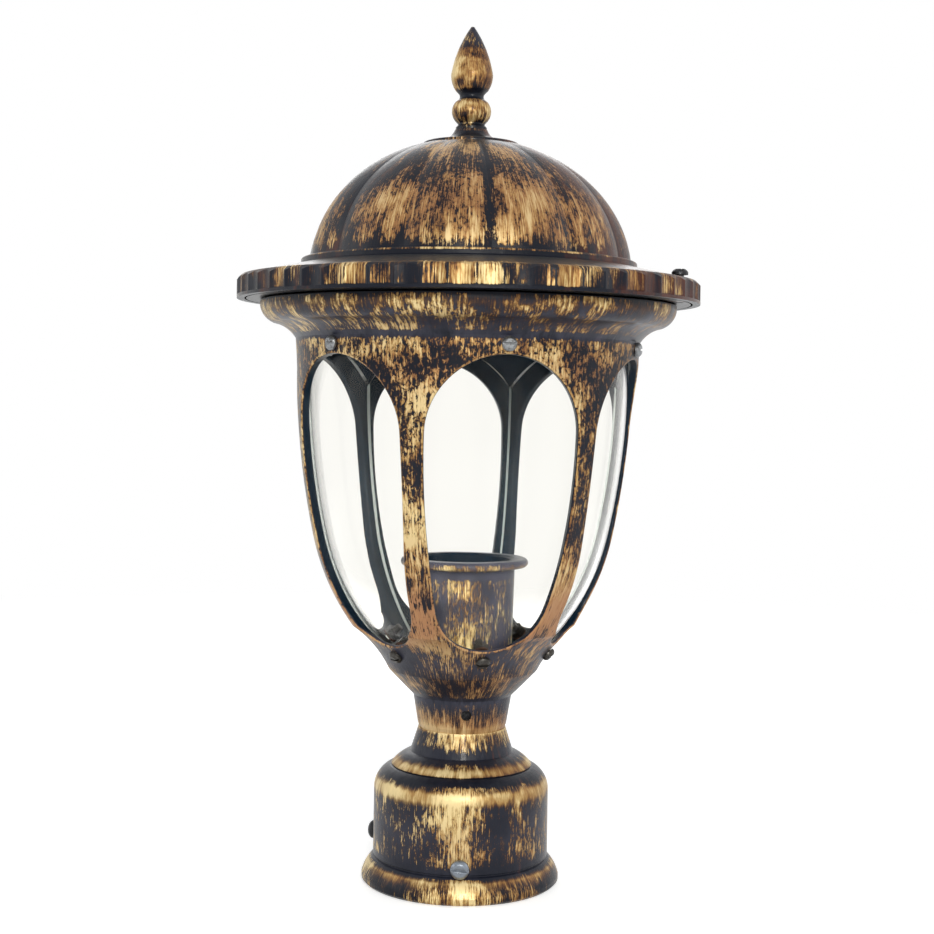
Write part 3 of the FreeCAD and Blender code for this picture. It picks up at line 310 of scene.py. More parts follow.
def add_up(paint, start, *weighted):
    """A start with more added to it, each given with its weight."""
    for value, weight in weighted:
        start = reckon(paint, "MULTIPLY_ADD", value, weight, start)
    return start


def centred(paint, value):
    """A number from 0 to 1 made one from -0.5 to 0.5."""
    return reckon(paint, "SUBTRACT", value, 0.5)


def grain(paint, place, fineness=1.0, detail=2.0, roughness=0.5, warp=0.0):
    """Cloudy noise from 0 to 1; the fineness is how many clouds come on a length of 1 in the place."""
    item = paint.nodes.new("ShaderNodeTexNoise")
    feed(paint, item.inputs["Vector"], place)
    item.inputs["Scale"].default_value = fineness
    item.inputs["Detail"].default_value = detail
    item.inputs["Roughness"].default_value = roughness
    item.inputs["Distortion"].default_value = warp
    return item.outputs[0]


def tone(paint, value, stops):
    """A run of colours, each given with its place from 0 to 1."""
    item = paint.nodes.new("ShaderNodeValToRGB")
    marks = item.color_ramp.elements
    while len(marks) < len(stops):
        marks.new(0.5)
    for mark, (place, colour) in zip(marks, stops):
        mark.position = place
        mark.color = (*colour, 1.0)
    feed(paint, item.inputs["Fac"], value)
    return item.outputs["Color"]


def shares(paint, value, stops):
    """A run of plain numbers from 0 to 1, each given with its place in millimetres or degrees."""
    first, last = stops[0][0], stops[-1][0]
    part = reckon(paint, "DIVIDE", reckon(paint, "SUBTRACT", value, first), last - first, clamp=True)
    return tone(paint, part, [((place - first) / (last - first), (number,) * 3) for place, number in stops])


def levels(paint, value, stops):
    """The same for numbers from -0.5 to 0.5."""
    return centred(paint, shares(paint, value, [(place, 0.5 + number) for place, number in stops]))


def surface_way(paint):
    """The way a surface faces."""
    return paint.nodes.new("ShaderNodeNewGeometry").outputs["Normal"]


def upward_part(paint, way):
    """How much a way points up, from -1 to 1."""
    split = paint.nodes.new("ShaderNodeSeparateXYZ")
    feed(paint, split.inputs[0], way)
    return split.outputs[2]


def upright(paint, height):
    """A way straight up by a height."""
    lift = paint.nodes.new("ShaderNodeCombineXYZ")
    feed(paint, lift.inputs[2], height)
    return lift.outputs[0]


def lantern_spot(paint):
    """The spot of the point that is painted."""
    at = paint.nodes.new("ShaderNodeTexCoord").outputs["Object"]
    place = reckon_place(paint, "SCALE", at, scale=1000.0)
    split = paint.nodes.new("ShaderNodeSeparateXYZ")
    feed(paint, split.inputs[0], place)
    across, deep, height = split.outputs
    flat = reckon_place(paint, "MULTIPLY", place, (1.0, 1.0, 0.0))
    turn = reckon(paint, "ARCTAN2", across, reckon(paint, "MULTIPLY", deep, -1.0))
    return Spot(place, reckon_place(paint, "LENGTH", flat), height,
                reckon(paint, "MULTIPLY", turn, 180.0 / math.pi), reckon_place(paint, "NORMALIZE", flat))


def raise_surface(paint, shader, skin, strength, distance):
    """Small unevenness of a surface, by its height."""
    bump = paint.nodes.new("ShaderNodeBump")
    bump.inputs["Strength"].default_value = strength
    bump.inputs["Distance"].default_value = distance
    feed(paint, bump.inputs["Height"], skin)
    feed(paint, shader.inputs["Normal"], bump.outputs[0])


def stroke_places(paint, outward, run, hair, stretch, seed):
    """Places stretched along the run: one unit is a stroke's width round the piece and its length up it."""
    along = reckon(paint, "ADD", reckon(paint, "DIVIDE", run, stretch), seed)
    across = reckon_place(paint, "SCALE", outward, scale=hair)
    return reckon_place(paint, "ADD", across, upright(paint, along))


def enamel_grains(paint, spot, brushing):
    """The grains of a piece's paint."""
    hair, stretch, seed = brushing.hair, brushing.stretch, brushing.seed
    run = reckon(paint, "MULTIPLY_ADD", spot.radius, brushing.lean, spot.height)
    fine_place = stroke_places(paint, spot.outward, run, hair, stretch, seed)
    broad_place = stroke_places(paint, spot.outward, run, hair / hairs_in_stroke, stretch * stroke_length,
                                seed + stroke_shift)
    shift = (seed * cloud_shift[0], 0.0, seed * cloud_shift[1])
    cloud_place = reckon_place(paint, "ADD", spot.place, shift)
    fleck_place = reckon_place(paint, "MULTIPLY", spot.place, (1.0, 1.0, fleck_flatness))
    return Grains(fine=grain(paint, fine_place, detail=5.0, roughness=0.7, warp=0.15),
                  broad=grain(paint, broad_place, detail=3.0, roughness=0.55, warp=0.5),
                  cloud=grain(paint, cloud_place, 1 / cloud_size),
                  fleck=grain(paint, fleck_place, 1 / fleck_size, detail=4.0, roughness=0.7, warp=0.5))


def gold_score(paint, spot, grains, brushing, ragged, by_ring, fleck_share):
    """Above 0 there is gold on a point, below it bare black."""
    hairs = reckon(paint, "MULTIPLY_ADD", fleck_share, hair_weight_in_flecks - hair_weight, hair_weight)
    flecks = reckon(paint, "MULTIPLY", fleck_share, fleck_weight)
    score = reckon(paint, "MULTIPLY", centred(paint, grains.fine), hairs)
    score = add_up(paint, score, (centred(paint, grains.fleck), flecks),
                   (centred(paint, grains.broad), stroke_weight),
                   (centred(paint, grains.cloud), cloud_weight))
    score = reckon(paint, "ADD", score, levels(paint, ragged, brushing.bands))
    # By turn, more gold towards the front: partly the paint's own spread, partly painted fall-off of the key
    # lamp.
    score = reckon(paint, "ADD", score, levels(paint, spot.turn, brushing.sides))
    return add_up(paint, score, (reckon(paint, "MINIMUM", by_ring, 0.0), groove_weight))


def gold_colour(paint, spot, grains, brushing, score, by_ring, rub, red):
    """Gold paint: pale where it lies thick or rubbed, brown where it is thin, redder by the coppers, darker
    in painted warm shade.
    """
    thick = reckon(paint, "MAXIMUM", ease(paint, score, *gold_thick), ease(paint, by_ring, *ring_thick))
    hairs = reckon(paint, "MULTIPLY_ADD", rub, hair_shade_lost, hair_shade)
    streaks = reckon(paint, "MULTIPLY", centred(paint, grains.fine), hairs)
    # Painted warm shade darkens the gold, mostly on the turns right of the front.
    warm_shaded = reckon(paint, "SUBTRACT", red, no_warm_shade)
    shade = add_up(paint, grains.cloud, (centred(paint, grains.broad), stroke_shade), (streaks, 1.0),
                   (rub, rubbed_shade), (thick, thick_shade), (warm_shaded, warm_shade_on_gold))
    patches = ease(paint, grains.broad, 0.3, 0.6, 0.5, 1.0)
    copper = reckon(paint, "MULTIPLY", shares(paint, spot.height, brushing.coppers), patches)
    return lay_over(paint, copper, tone(paint, shade, gold_tones), copper_gold)


def black_colour(paint, grains, brushing, score, ragged, red):
    """Black enamel, red-brown by painted warm shade and blue-grey by painted reflection in places, brown
    under a film of gold.
    """
    # Painted warm shade turns the black red-brown in broad patches on those turns.
    warm_shade_cloud = add_up(paint, red, (centred(paint, grains.broad), 1.2))
    black = lay_over(paint, ease(paint, warm_shade_cloud, 0.0, 0.4), enamel_black, warm_shade_red)
    # Painted reflection: a dull blue-grey laid into the black in patches, by height.
    patches = ease(paint, grains.cloud, 0.3, 0.6, 0.4, 1.0)
    reflection_share = reckon(paint, "MULTIPLY", shares(paint, ragged, brushing.hazes), patches)
    black = lay_over(paint, reflection_share, black, reflection_blue_grey)
    return lay_over(paint, ease(paint, score, *gold_film), black, enamel_wash)


def enamel_gloss(paint, shader, grains, gold):
    """Bare enamel is glossy, the gold and the strokes on it duller; both gleam pale along the outline."""
    rough = reckon(paint, "MULTIPLY_ADD", gold, 0.12, 0.26)
    feed(paint, shader.inputs["Roughness"], reckon(paint, "MULTIPLY_ADD", grains.fine, 0.12, rough))
    shader.inputs["IOR"].default_value = 1.24
    shader.inputs["Coat Weight"].default_value = 0.07
    shader.inputs["Coat Roughness"].default_value = 0.08
    shader.inputs["Sheen Weight"].default_value = 0.12
    shader.inputs["Sheen Roughness"].default_value = 0.22
    shader.inputs["Sheen Tint"].default_value = edge_gleam


def brushed_enamel(name, brushing, masks=None):
    """Black enamel brushed with gold; masks may change the score and say how far a point is inside."""
    material, paint, shader = bare_paint(name)
    spot = lantern_spot(paint)
    grains = enamel_grains(paint, spot, brushing)
    fine_off, broad_off = centred(paint, grains.fine), centred(paint, grains.broad)
    ragged = add_up(paint, spot.height, (fine_off, hair_raggedness), (broad_off, stroke_raggedness))
    by_ring = levels(paint, spot.height, brushing.rings)
    fleck_share = shares(paint, spot.height, brushing.flecks)
    red = levels(paint, spot.turn, brushing.reds)
    score = gold_score(paint, spot, grains, brushing, ragged, by_ring, fleck_share)
    inner = 0.0
    if masks is not None:
        score, inner = masks(paint, spot, score)
    outer = reckon(paint, "SUBTRACT", 1.0, inner)
    rub = add_up(paint, by_ring, (fine_off, hair_rubbed), (broad_off, stroke_rubbed))
    rub = ease(paint, rub, *ring_rubbed)
    gold = reckon(paint, "MAXIMUM", ease(paint, score, *gold_begins), rub)
    gilding = gold_colour(paint, spot, grains, brushing, score, by_ring, rub, red)
    black = black_colour(paint, grains, brushing, score, ragged, red)
    colour = lay_over(paint, gold, black, gilding)
    feed(paint, shader.inputs["Base Color"], lay_over(paint, inner, colour, enamel_inside))
    metal = reckon(paint, "MULTIPLY", gold, 0.4)
    feed(paint, shader.inputs["Metallic"], reckon(paint, "MULTIPLY", metal, outer))
    enamel_gloss(paint, shader, grains, gold)
    fleck_height = reckon(paint, "MULTIPLY", reckon(paint, "MULTIPLY", fleck_share, outer), 0.2)
    skin = add_up(paint, reckon(paint, "MULTIPLY", grains.fine, 0.2), (gold, 0.05),
                  (grain(paint, spot.place, 1 / lump_size), 0.4), (grains.fleck, fleck_height))
    raise_surface(paint, shader, skin, strength=0.6, distance=0.001)
    return material


def inside_mask(paint, spot, score):
    """Faces that look in towards the axis stay black."""
    out_way = reckon_place(paint, "DOT_PRODUCT", surface_way(paint), spot.outward)
    return score, ease(paint, out_way, 0.0, -0.12)


def finish_node(name, material):
    """Gives a solid of the part its finish."""
    slots = nodes[name].data.materials
    slots.clear()
    slots.append(material)


fitter_brushing = Brushing(
    hair=85.0, stretch=7.5, lean=-0.9, seed=3.1,
    bands=[(-5, 0.05), (6, 0.02), (14, -0.08), (22, -0.04), (30, -0.1), (42, -0.07), (48, 0.04), (55, -0.1),
           (62, -0.1), (68, -0.04), (76, 0.08)],
    rings=[(0, 0.0), (3, 0.0), (6.5, 0.1), (9.5, 0.3), (11, 0.0), (12, -0.45), (14.5, -0.12), (17, 0.0),
           (43, 0.0), (46.5, 0.3), (49.5, 0.42), (52, 0.12), (54.5, -0.15), (56.3, -0.45), (57.2, 0.25),
           (59, 0.42), (61.5, 0.05), (63.5, -0.3), (66, -0.15), (69, 0.0), (74, 0.05), (75.4, 0.3)],
    sides=[(-180, -0.02), (-140, -0.08), (-95, -0.08), (-50, -0.16), (-32, -0.02), (-16, 0.14), (-2, 0.06),
           (10, -0.06), (28, -0.02), (55, -0.14), (90, -0.08), (140, -0.08), (180, -0.02)],
    flecks=[(0, 0.3), (12, 0.3), (20, 0.5), (45, 0.4), (90, 0.35)],
    hazes=[(0, 0.0), (14, 0.3), (30, 0.5), (44, 0.3), (50, 0.0), (66, 0.3), (76, 0.1)],
    coppers=[(0, 0.0), (14, 0.25), (30, 0.3), (40, 0.1), (50, 0.15), (76, 0.1)],
    reds=[(-180, no_warm_shade), (0, no_warm_shade), (25, 0.0), (70, -0.05), (120, no_warm_shade), (180, no_warm_shade)])
finish_node("post_fitter", brushed_enamel("fitter_enamel", fitter_brushing, inside_mask))

# ---------------------------------------------------------------- clamp screws
# Three slotted steel screws go through the fitter's skirt and grip the post.  The front and right ones are
# zinc plated and left bare, the left one is blackened.  The front one was tightened until its slot lay
# almost level, so it is its own solid turned on its line.
crevice_shade_black = (0.006, 0.006, 0.007, 1)
crevice_reach = 0.0012
crevice_shade_start = (0.62, 0.3)
steel_clouds = 0.9
steel_specks = 3.5
dull_cloud = 0.78
dulled_cloud = 0.9
front_screw_turn = math.radians(-12.5)
front_screw_height = 0.0163
front_slot_turn = math.radians(84.0)


def plated_steel(name, colour, dirt, share):
    """Zinc plate or blackened steel, dulled in clouds by the share, with black painted shade in its slot and
    corners.
    """
    material, paint, shader = bare_paint(name)
    place = lantern_spot(paint).place
    cloud = grain(paint, place, steel_clouds, detail=3.0, roughness=0.6)
    speck = grain(paint, place, steel_specks, detail=3.0, roughness=0.6)
    worn = ease(paint, add_up(paint, cloud, (speck, 0.4)), dull_cloud - share, dulled_cloud - share)
    # Painted shade: an occlusion test lays black into the slot and the corners.
    closeness = paint.nodes.new("ShaderNodeAmbientOcclusion")
    closeness.samples = 6
    closeness.inputs["Distance"].default_value = crevice_reach
    crevice_shade = ease(paint, closeness.outputs["AO"], *crevice_shade_start)
    skin = lay_over(paint, worn, (*colour, 1), (*dirt, 1))
    feed(paint, shader.inputs["Base Color"], lay_over(paint, crevice_shade, skin, crevice_shade_black))
    feed(paint, shader.inputs["Metallic"], reckon(paint, "MULTIPLY_ADD", worn, -0.6, 0.85))
    feed(paint, shader.inputs["Roughness"], reckon(paint, "MULTIPLY_ADD", cloud, 0.3, 0.2))
    raise_surface(paint, shader, speck, strength=0.3, distance=0.0002)
    return material


def new_piece(name, shape, material, sharp_angle):
    """Makes an object of a shape, with its sharp edges marked and one finish."""
    mesh = bpy.data.meshes.new(name)
    shape.to_mesh(mesh)
    shape.free()
    mesh.set_sharp_from_angle(angle=math.radians(sharp_angle))
    mesh.materials.append(material)
    item = bpy.data.objects.new(name, mesh)
    scene.collection.objects.link(item)
    return item


bare_zinc = plated_steel("bare_zinc", (0.22, 0.25, 0.29), (0.12, 0.12, 0.12), 0.0)
black_steel = plated_steel("black_steel", (0.03, 0.032, 0.036), (0.012, 0.012, 0.014), 0.1)
finish_node("post_screw_front", bare_zinc)
finish_node("post_screw_right", bare_zinc)
finish_node("post_screw_left", black_steel)

front_solid = bmesh.new()
front_solid.from_mesh(nodes["post_screw_front"].data)
bmesh.ops.remove_doubles(front_solid, verts=front_solid.verts, dist=1e-6)
bmesh.ops.rotate(front_solid, verts=front_solid.verts, cent=(0, 0, front_screw_height),
                 matrix=Matrix.Rotation(front_slot_turn, 3, way_out(front_screw_turn)))
front_screw = new_piece("front_clamp_screw", front_solid, bare_zinc, sharp_angle=30.0)
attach(front_screw, "screw_front")
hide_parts("post_screw_front")

# ---------------------------------------------------------------- cage
# The cage is one aluminium casting: collar, bowl, six posts with arches between them, band and cornice.
# Outside it is brushed with gold like the fitter, flecked where the brush was dabbed; inside it stays black.
low_arc = {"middle": 196.79, "radius": 121.0}
high_arc = {"middle": 252.63, "radius": 375.0}
steepest = 0.66
window_foot = (116.0, 120.0)
window_head = (265.0, 262.0)
edge_from_side = (0.25, 0.55)
edge_from_face = (0.985, 0.93)
window_side = (0.45, 0.15)
side_score = -0.5
edge_speckles = 0.75


def wall_way(paint, spot):
    """The way the cage's smooth outer wall faces at a height, from the two arcs of its side."""
    leans = [reckon(paint, "DIVIDE", reckon(paint, "SUBTRACT", arc["middle"], spot.height), arc["radius"])
             for arc in (low_arc, high_arc)]
    drop = reckon(paint, "MAXIMUM", reckon(paint, "MAXIMUM", *leans), 0.0)
    drop = reckon(paint, "MINIMUM", drop, steepest)
    level = reckon(paint, "SQRT", reckon(paint, "SUBTRACT", 1.0, reckon(paint, "MULTIPLY", drop, drop)))
    down = upright(paint, reckon(paint, "MULTIPLY", drop, -1.0))
    return reckon_place(paint, "ADD", reckon_place(paint, "SCALE", spot.outward, scale=level), down)


def cage_masks(paint, spot, score):
    """The window edges take a broken line of gold, and the window sides and the inside take none."""
    square = reckon_place(paint, "DOT_PRODUCT", surface_way(paint), wall_way(paint, spot))
    at_windows = reckon(paint, "MULTIPLY", ease(paint, spot.height, *window_foot),
                        ease(paint, spot.height, *window_head))
    rounded = reckon(paint, "MULTIPLY", ease(paint, square, *edge_from_side),
                     ease(paint, square, *edge_from_face))
    edge = reckon(paint, "MULTIPLY", rounded, at_windows)
    side = reckon(paint, "MULTIPLY", ease(paint, square, *window_side), at_windows)
    speckle = grain(paint, spot.place, edge_speckles, roughness=0.6)
    speckle = reckon(paint, "MULTIPLY_ADD", speckle, 2.2, -0.85)
    score = reckon(paint, "ADD", score, reckon(paint, "MULTIPLY", edge, speckle))
    return inside_mask(paint, spot, add_up(paint, score, (side, side_score)))


cage_brushing = Brushing(
    hair=85.0, stretch=9.0, lean=0.8, seed=11.7,
    bands=[(75, 0.05), (79, 0.1), (84, -0.02), (90, -0.06), (95, 0.0), (103, 0.06), (110, -0.12),
           (118, -0.12), (126, 0.08), (140, 0.1), (160, 0.0), (190, -0.09), (225, -0.08), (250, -0.06),
           (265, -0.03), (269, -0.1), (275, -0.1), (280, -0.02), (286, -0.02), (292, -0.1)],
    rings=[(75.4, 0.3), (78, 0.3), (80.5, 0.05), (84, 0.0), (90, -0.1), (92, -0.4), (94, -0.05), (120, 0.0),
           (266, 0.0), (267.8, -0.3), (270, 0.0), (274, 0.05), (277, 0.05), (281, 0.16), (283.5, 0.1),
           (285, 0.0), (286.3, -0.4), (292, -0.4)],
    sides=[(-180, 0.0), (-140, -0.05), (-95, 0.02), (-60, -0.06), (-40, 0.02), (-10, 0.03), (20, 0.02),
           (50, -0.03), (80, 0.03), (140, -0.05), (180, 0.0)],
    flecks=[(75, 0.2), (150, 0.25), (185, 0.55), (215, 0.8), (266, 0.9), (269, 0.4), (274, 0.2), (278, 0.5),
            (292, 0.5)],
    hazes=[(75, 0.0), (83, 0.3), (91, 0.7), (94, 0.3), (104, 0.3), (110, 0.75), (120, 0.75), (126, 0.2),
           (262, 0.0), (269, 0.6), (274, 0.85), (278, 0.4), (284, 0.0), (292, 0.0)],
    coppers=[(75, 0.5), (90, 0.6), (105, 0.5), (118, 0.5), (128, 0.95), (146, 0.9), (158, 0.4), (180, 0.2),
             (230, 0.2), (250, 0.4), (265, 0.2), (272, 0.3), (280, 0.1), (292, 0.1)],
    reds=[(-180, no_warm_shade), (-20, no_warm_shade), (25, -0.1), (60, 0.05), (100, -0.2), (180, no_warm_shade)])
finish_node("cage", brushed_enamel("cage_enamel", cage_brushing, cage_masks))

# ---------------------------------------------------------------- neck screws
# Three slotted steel screws, sunk in the collar, reach into the groove of the fitter's spigot and hold the
# cage on it.  Their colour is a painted shade, almost black, for the shade down in their holes, so that only
# the holes show.
hole_shade_steel = plated_steel("hole_shade_steel", (0.006, 0.006, 0.007), (0.004, 0.004, 0.004), 0.1)
finish_node("neck_screws", hole_shade_steel)

# ---------------------------------------------------------------- panes
# Six clear glass panes, bent like the cage, lie behind the windows.  A screw above the arch and one under
# the sill hold each of them.  Their ground edges catch the light in thin pale lines.
glass_tint = (0.985, 0.98, 0.955, 1)
ground_glass = (0.74, 0.80, 0.80, 1)
glass_shadow = (0.97, 0.98, 0.97, 1)
ground_width = (0.45, 0.3)
ground_ends = (0.9, 0.7)
pane_count = 6


def clear_pane(name):
    """Clear glass whose upright narrow sides are ground; light for shadows goes straight through."""
    material, paint, shader = bare_paint(name)
    facing = surface_way(paint)
    out_way = reckon_place(paint, "DOT_PRODUCT", facing, lantern_spot(paint).outward)
    out_way = reckon(paint, "ABSOLUTE", out_way)
    up_way = reckon(paint, "ABSOLUTE", upward_part(paint, facing))
    ground = reckon(paint, "MULTIPLY", ease(paint, out_way, *ground_width),
                    ease(paint, up_way, *ground_ends))
    feed(paint, shader.inputs["Base Color"], lay_over(paint, ground, glass_tint, ground_glass))
    feed(paint, shader.inputs["Roughness"], reckon(paint, "MULTIPLY", ground, 0.45))
    feed(paint, shader.inputs["Transmission Weight"], reckon(paint, "SUBTRACT", 1.0, ground))
    shader.inputs["IOR"].default_value = 1.16
    light = paint.nodes.new("ShaderNodeLightPath").outputs["Is Shadow Ray"]
    open_way = paint.nodes.new("ShaderNodeBsdfTransparent")
    open_way.inputs["Color"].default_value = glass_shadow
    finish_with(paint, "OUTPUT_MATERIAL", swap_over(paint, light, shader.outputs[0], open_way.outputs[0]))
    return material


pane_glass = clear_pane("pane_glass")
for index in range(pane_count):
    finish_node("pane_%d" % (index + 1), pane_glass)

# ---------------------------------------------------------------- pane screws, washers and nuts
# Each pane is held by a slotted steel screw above its arch and one under its sill, with a fibre washer and a
# plated nut inside.  The upper ones are bare zinc, the lower ones were painted over with the cage.


def clouded(name, fineness, dark, pale, roughness, metal=0.0, detail=3.0, grain_roughness=0.6):
    """A plain material whose colour wanders between two near tones."""
    material, paint, shader = bare_paint(name)
    cloud = grain(paint, lantern_spot(paint).place, fineness, detail=detail, roughness=grain_roughness)
    feed(paint, shader.inputs["Base Color"], tone(paint, cloud, [(0.3, dark), (0.7, pale)]))
    shader.inputs["Roughness"].default_value = roughness
    shader.inputs["Metallic"].default_value = metal
    return material


fibre = clouded("fibre_washer", 1.2, (0.045, 0.018, 0.010), (0.09, 0.04, 0.022), roughness=0.75)
screw_zinc = plated_steel("screw_zinc", (0.24, 0.25, 0.26), (0.08, 0.075, 0.07), 0.03)
painted_screw = plated_steel("painted_screw", (0.07, 0.066, 0.060), (0.02, 0.016, 0.012), 0.12)
for row, screw_finish in (("upper", screw_zinc), ("lower", painted_screw)):
    finish_node("pane_screws_" + row, screw_finish)
    finish_node("pane_washers_" + row, fibre)
    finish_node("pane_nuts_" + row, screw_finish)

# ---------------------------------------------------------------- lamp cup
# The cup is a spun steel sleeve with a rolled rim that hides the lampholder.  It stands on the cage's floor,
# held by the stem, and is brushed with gold like the rest, thinly, over black enamel with a painted
# reflection, dull blue-grey, laid all over it.
cup_brushing = Brushing(
    hair=80.0, stretch=6.0, lean=-0.6, seed=5.9,
    bands=[(98, -0.12), (110, -0.04), (135, -0.02), (148, 0.04), (160, 0.0)],
    rings=[(98, 0.0), (150, 0.0), (153, -0.3), (155, 0.0), (156.5, 0.2), (158.2, 0.05), (159.4, -0.3)],
    sides=[(-180, -0.1), (-90, -0.16), (-50, -0.18), (-25, -0.06), (-14, 0.06), (0, -0.02), (25, -0.18),
           (90, -0.14), (180, -0.1)],
    flecks=[(98, 0.4), (160, 0.4)],
    hazes=[(98, 0.9), (150, 1.0), (160, 1.0)],
    coppers=[(98, 0.0), (160, 0.0)],
    reds=[(-180, no_warm_shade), (180, no_warm_shade)])
finish_node("lamp_cup", brushed_enamel("cup_enamel", cup_brushing, inside_mask))

# ---------------------------------------------------------------- stem and its nuts
# A hollow threaded steel stem, zinc plated, clamps the cup and the lampholder to the cage's floor between
# two nuts.  The supply wires come up through it.
for name in ("stem", "stem_nut_upper", "stem_washer", "stem_nut_lower"):
    finish_node(name, bare_zinc)

# ---------------------------------------------------------------- lampholder
# The lampholder is a glazed white ceramic body, held down in the cup by the stem, with a sprung brass
# contact.  Its screw shell is rolled from thin brass sheet, so the thread shows as rounded turns on both
# sides.
shell_middle_radius = 0.01325
thread_depth = 0.0002
thread_pitch = 0.0035
thread_turns = 8
thread_steps = 48
thread_points = 8
sheet_thickness = 0.00025

ceramic = clouded("white_ceramic", 0.15, (0.72, 0.70, 0.64), (0.80, 0.79, 0.75), roughness=0.18,
                  detail=2.0, grain_roughness=0.5)
brass = clouded("rolled_brass", 0.5, (0.52, 0.34, 0.12), (0.78, 0.58, 0.26), roughness=0.3, metal=1.0)
finish_node("lampholder_body", ceramic)
finish_node("centre_contact", brass)


def wave_point(shape, part, foot):
    """A point of one thread's wave; the part goes from 0 to 1 up the wave."""
    radius = shell_middle_radius + thread_depth * math.cos(2 * math.pi * part)
    return shape.verts.new((radius, 0.0, foot + thread_pitch * (part - 1.0)))


def threaded_shell(foot, top):
    """One wave carried round and up the axis, cut level at both ends, and given the sheet's thickness."""
    shape = bmesh.new()
    points = [wave_point(shape, index / thread_points, foot) for index in range(thread_points + 1)]
    edges = [shape.edges.new(pair) for pair in zip(points, points[1:])]
    bmesh.ops.spin(shape, geom=points + edges, cent=(0, 0, 0), axis=(0, 0, 1),
                   dvec=(0, 0, thread_pitch / thread_steps), angle=2 * math.pi * thread_turns,
                   steps=thread_steps * thread_turns, use_merge=False)
    bmesh.ops.remove_doubles(shape, verts=shape.verts, dist=1e-5)
    for height, side in ((foot, -1), (top, 1)):
        bmesh.ops.bisect_plane(shape, geom=shape.verts[:] + shape.edges[:] + shape.faces[:], dist=1e-7,
                               plane_co=(0, 0, height), plane_no=(0, 0, side), clear_outer=True)
    bmesh.ops.recalc_face_normals(shape, faces=shape.faces)
    bmesh.ops.solidify(shape, geom=shape.faces[:], thickness=sheet_thickness)
    bmesh.ops.recalc_face_normals(shape, faces=shape.faces)
    for face in shape.faces:
        face.smooth = True
    return shape


shell_foot, shell_top = (corner.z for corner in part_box("lampholder_shell"))
screw_shell = new_piece("screw_shell", threaded_shell(shell_foot, shell_top), brass, sharp_angle=50.0)
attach(screw_shell, "lantern")
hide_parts("lampholder_shell")

# ---------------------------------------------------------------- roof
# The roof is one aluminium casting: a fluted rim, a shallow brim and a dome of twelve lobes.  The gold is
# brushed up each lobe and stops short of the crown; on the rim each flute took more or less of it.  A dark
# line of painted shade lies in every second crease of the dome and on each edge between the flutes.
crease_turn = -5.0
shaded_crease_step = 60.0
crease_narrowness = 110.0
crease_shade_score = -0.38
dome_foot = (304.0, 312.0)
flute_step = 6.0
flute_spread = 0.4
flute_edge = (0.38, 0.48)
flute_edge_shade_score = -0.3
rim_foot = (287.4, 288.2)
rim_top = (298.4, 297.4)
roof_inside = (0.0, -0.1)
roof_underside = (-0.3, -0.6)


def crease_shade_share(paint, spot):
    """1 on every second crease between the lobes, where a painted shade line lies; falls off fast to both
    sides.
    """
    wave = reckon(paint, "MULTIPLY", reckon(paint, "SUBTRACT", spot.turn, crease_turn),
                  2.0 * math.pi / shaded_crease_step)
    wave = reckon(paint, "MULTIPLY_ADD", reckon(paint, "COSINE", wave), 0.5, 0.5)
    return reckon(paint, "MULTIPLY", reckon(paint, "POWER", wave, crease_narrowness),
                  ease(paint, spot.height, *dome_foot))


def flute_score(paint, spot):
    """More or less gold for each flute, and none on the edges between them, where painted shade lies."""
    way_round = reckon(paint, "SUBTRACT", spot.turn, crease_turn - 360.0)
    flute = reckon(paint, "DIVIDE", way_round, flute_step)
    mixed = paint.nodes.new("ShaderNodeTexWhiteNoise")
    mixed.noise_dimensions = "1D"
    feed(paint, mixed.inputs["W"], reckon(paint, "FLOOR", flute))
    within = reckon(paint, "ABSOLUTE", centred(paint, reckon(paint, "FRACT", flute)))
    own = reckon(paint, "MULTIPLY_ADD", mixed.outputs["Value"], flute_spread, -flute_spread / 2)
    return add_up(paint, own, (ease(paint, within, *flute_edge), flute_edge_shade_score))


def roof_masks(paint, spot, score):
    """Dark lines of painted shade in the creases and on the flute edges, and black inside and under the
    roof.
    """
    on_rim = reckon(paint, "MULTIPLY", ease(paint, spot.height, *rim_foot),
                    ease(paint, spot.height, *rim_top))
    score = add_up(paint, score, (crease_shade_share(paint, spot), crease_shade_score),
                   (flute_score(paint, spot), on_rim))
    facing = surface_way(paint)
    inner = ease(paint, reckon_place(paint, "DOT_PRODUCT", facing, spot.outward), *roof_inside)
    under = ease(paint, upward_part(paint, facing), *roof_underside)
    return score, reckon(paint, "MAXIMUM", inner, under)


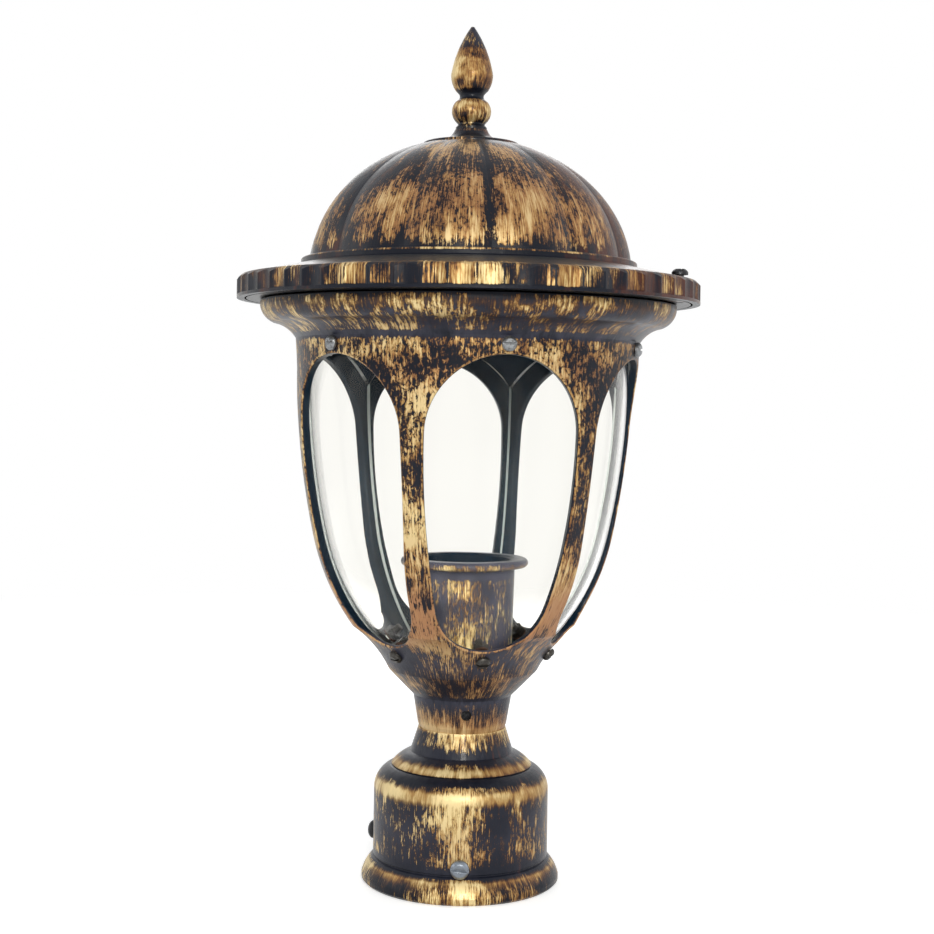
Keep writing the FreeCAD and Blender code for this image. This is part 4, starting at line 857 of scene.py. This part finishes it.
roof_brushing = Brushing(
    hair=125.0, stretch=14.0, lean=-0.9, seed=23.4,
    bands=[(284, 0.0), (298, 0.0), (303, -0.1), (308, -0.04), (316, 0.05), (330, 0.07), (340, -0.03),
           (350, -0.15), (362, -0.18), (370, -0.18), (376, -0.1)],
    rings=[(286, -0.4), (287.8, -0.3), (288.6, 0.0), (296.5, 0.05), (297.6, 0.1), (299, -0.2), (303, -0.4),
           (305.6, -0.3), (306.5, 0.2), (307.2, -0.2), (309, -0.1), (313, 0.0), (368, 0.0), (370.5, -0.4),
           (372, 0.1), (374, -0.1), (376, 0.0)],
    sides=[(-180, 0.0), (-140, -0.05), (-95, -0.06), (-62, -0.2), (-38, 0.02), (-10, 0.09), (12, 0.08),
           (28, -0.06), (60, -0.18), (100, -0.02), (140, -0.05), (180, 0.0)],
    flecks=[(286, 0.25), (304, 0.3), (312, 0.55), (345, 0.5), (376, 0.25)],
    hazes=[(286, 0.05), (376, 0.05)],
    coppers=[(286, 0.1), (304, 0.2), (320, 0.4), (345, 0.6), (376, 0.6)],
    reds=[(-180, -0.3), (-90, 0.0), (-55, 0.05), (-20, -0.25), (12, -0.1), (40, 0.3), (80, 0.25),
          (120, -0.2), (180, -0.3)])
finish_node("roof_cover", brushed_enamel("roof_enamel", roof_brushing, roof_masks))

# ---------------------------------------------------------------- roof gasket and roof screws
# A flat black rubber ring seals the roof on the cage's flange.  Two blackened steel screws on the brim go
# through the ring and hold the roof down.
rubber = clouded("black_rubber", 0.8, (0.012, 0.012, 0.013), (0.03, 0.03, 0.03), roughness=0.7)
finish_node("roof_gasket", rubber)
finish_node("roof_screws", black_steel)

# ---------------------------------------------------------------- finial
# The finial is a small turned and cast spike, brushed all over with gold that is rubbed thin at its waist
# and tip; its stud goes through the crown to a washer and a nut inside the dome.
finial_brushing = Brushing(
    hair=12.0, stretch=5.0, lean=-0.5, seed=31.2,
    bands=[(353, -0.2), (376, 0.0), (384, 0.24), (391, 0.0), (397, 0.2), (409, 0.2), (415, -0.04),
           (425, -0.14)],
    rings=[(353, -0.4), (375, -0.2), (378, 0.0), (381, 0.2), (385, 0.3), (387.5, 0.0), (389, -0.45),
           (391, -0.3), (394, 0.1), (400, 0.3), (408, 0.2), (414, -0.05), (424.7, -0.1)],
    sides=[(-180, 0.0), (-90, 0.04), (-30, 0.08), (0, 0.05), (35, -0.05), (90, 0.03), (180, 0.0)],
    flecks=[(353, 0.4), (425, 0.4)],
    hazes=[(353, 0.0), (405, 0.0), (414, 0.4), (425, 0.4)],
    coppers=[(353, 0.2), (425, 0.2)],
    reds=[(-180, no_warm_shade), (0, -0.3), (40, 0.0), (90, -0.1), (180, no_warm_shade)])
finish_node("finial", brushed_enamel("finial_enamel", finial_brushing))
finish_node("finial_washer", bare_zinc)
finish_node("finial_nut", bare_zinc)

# ---------------------------------------------------------------- scene update
# The scene is brought up to date at the end.
bpy.context.view_layer.update()
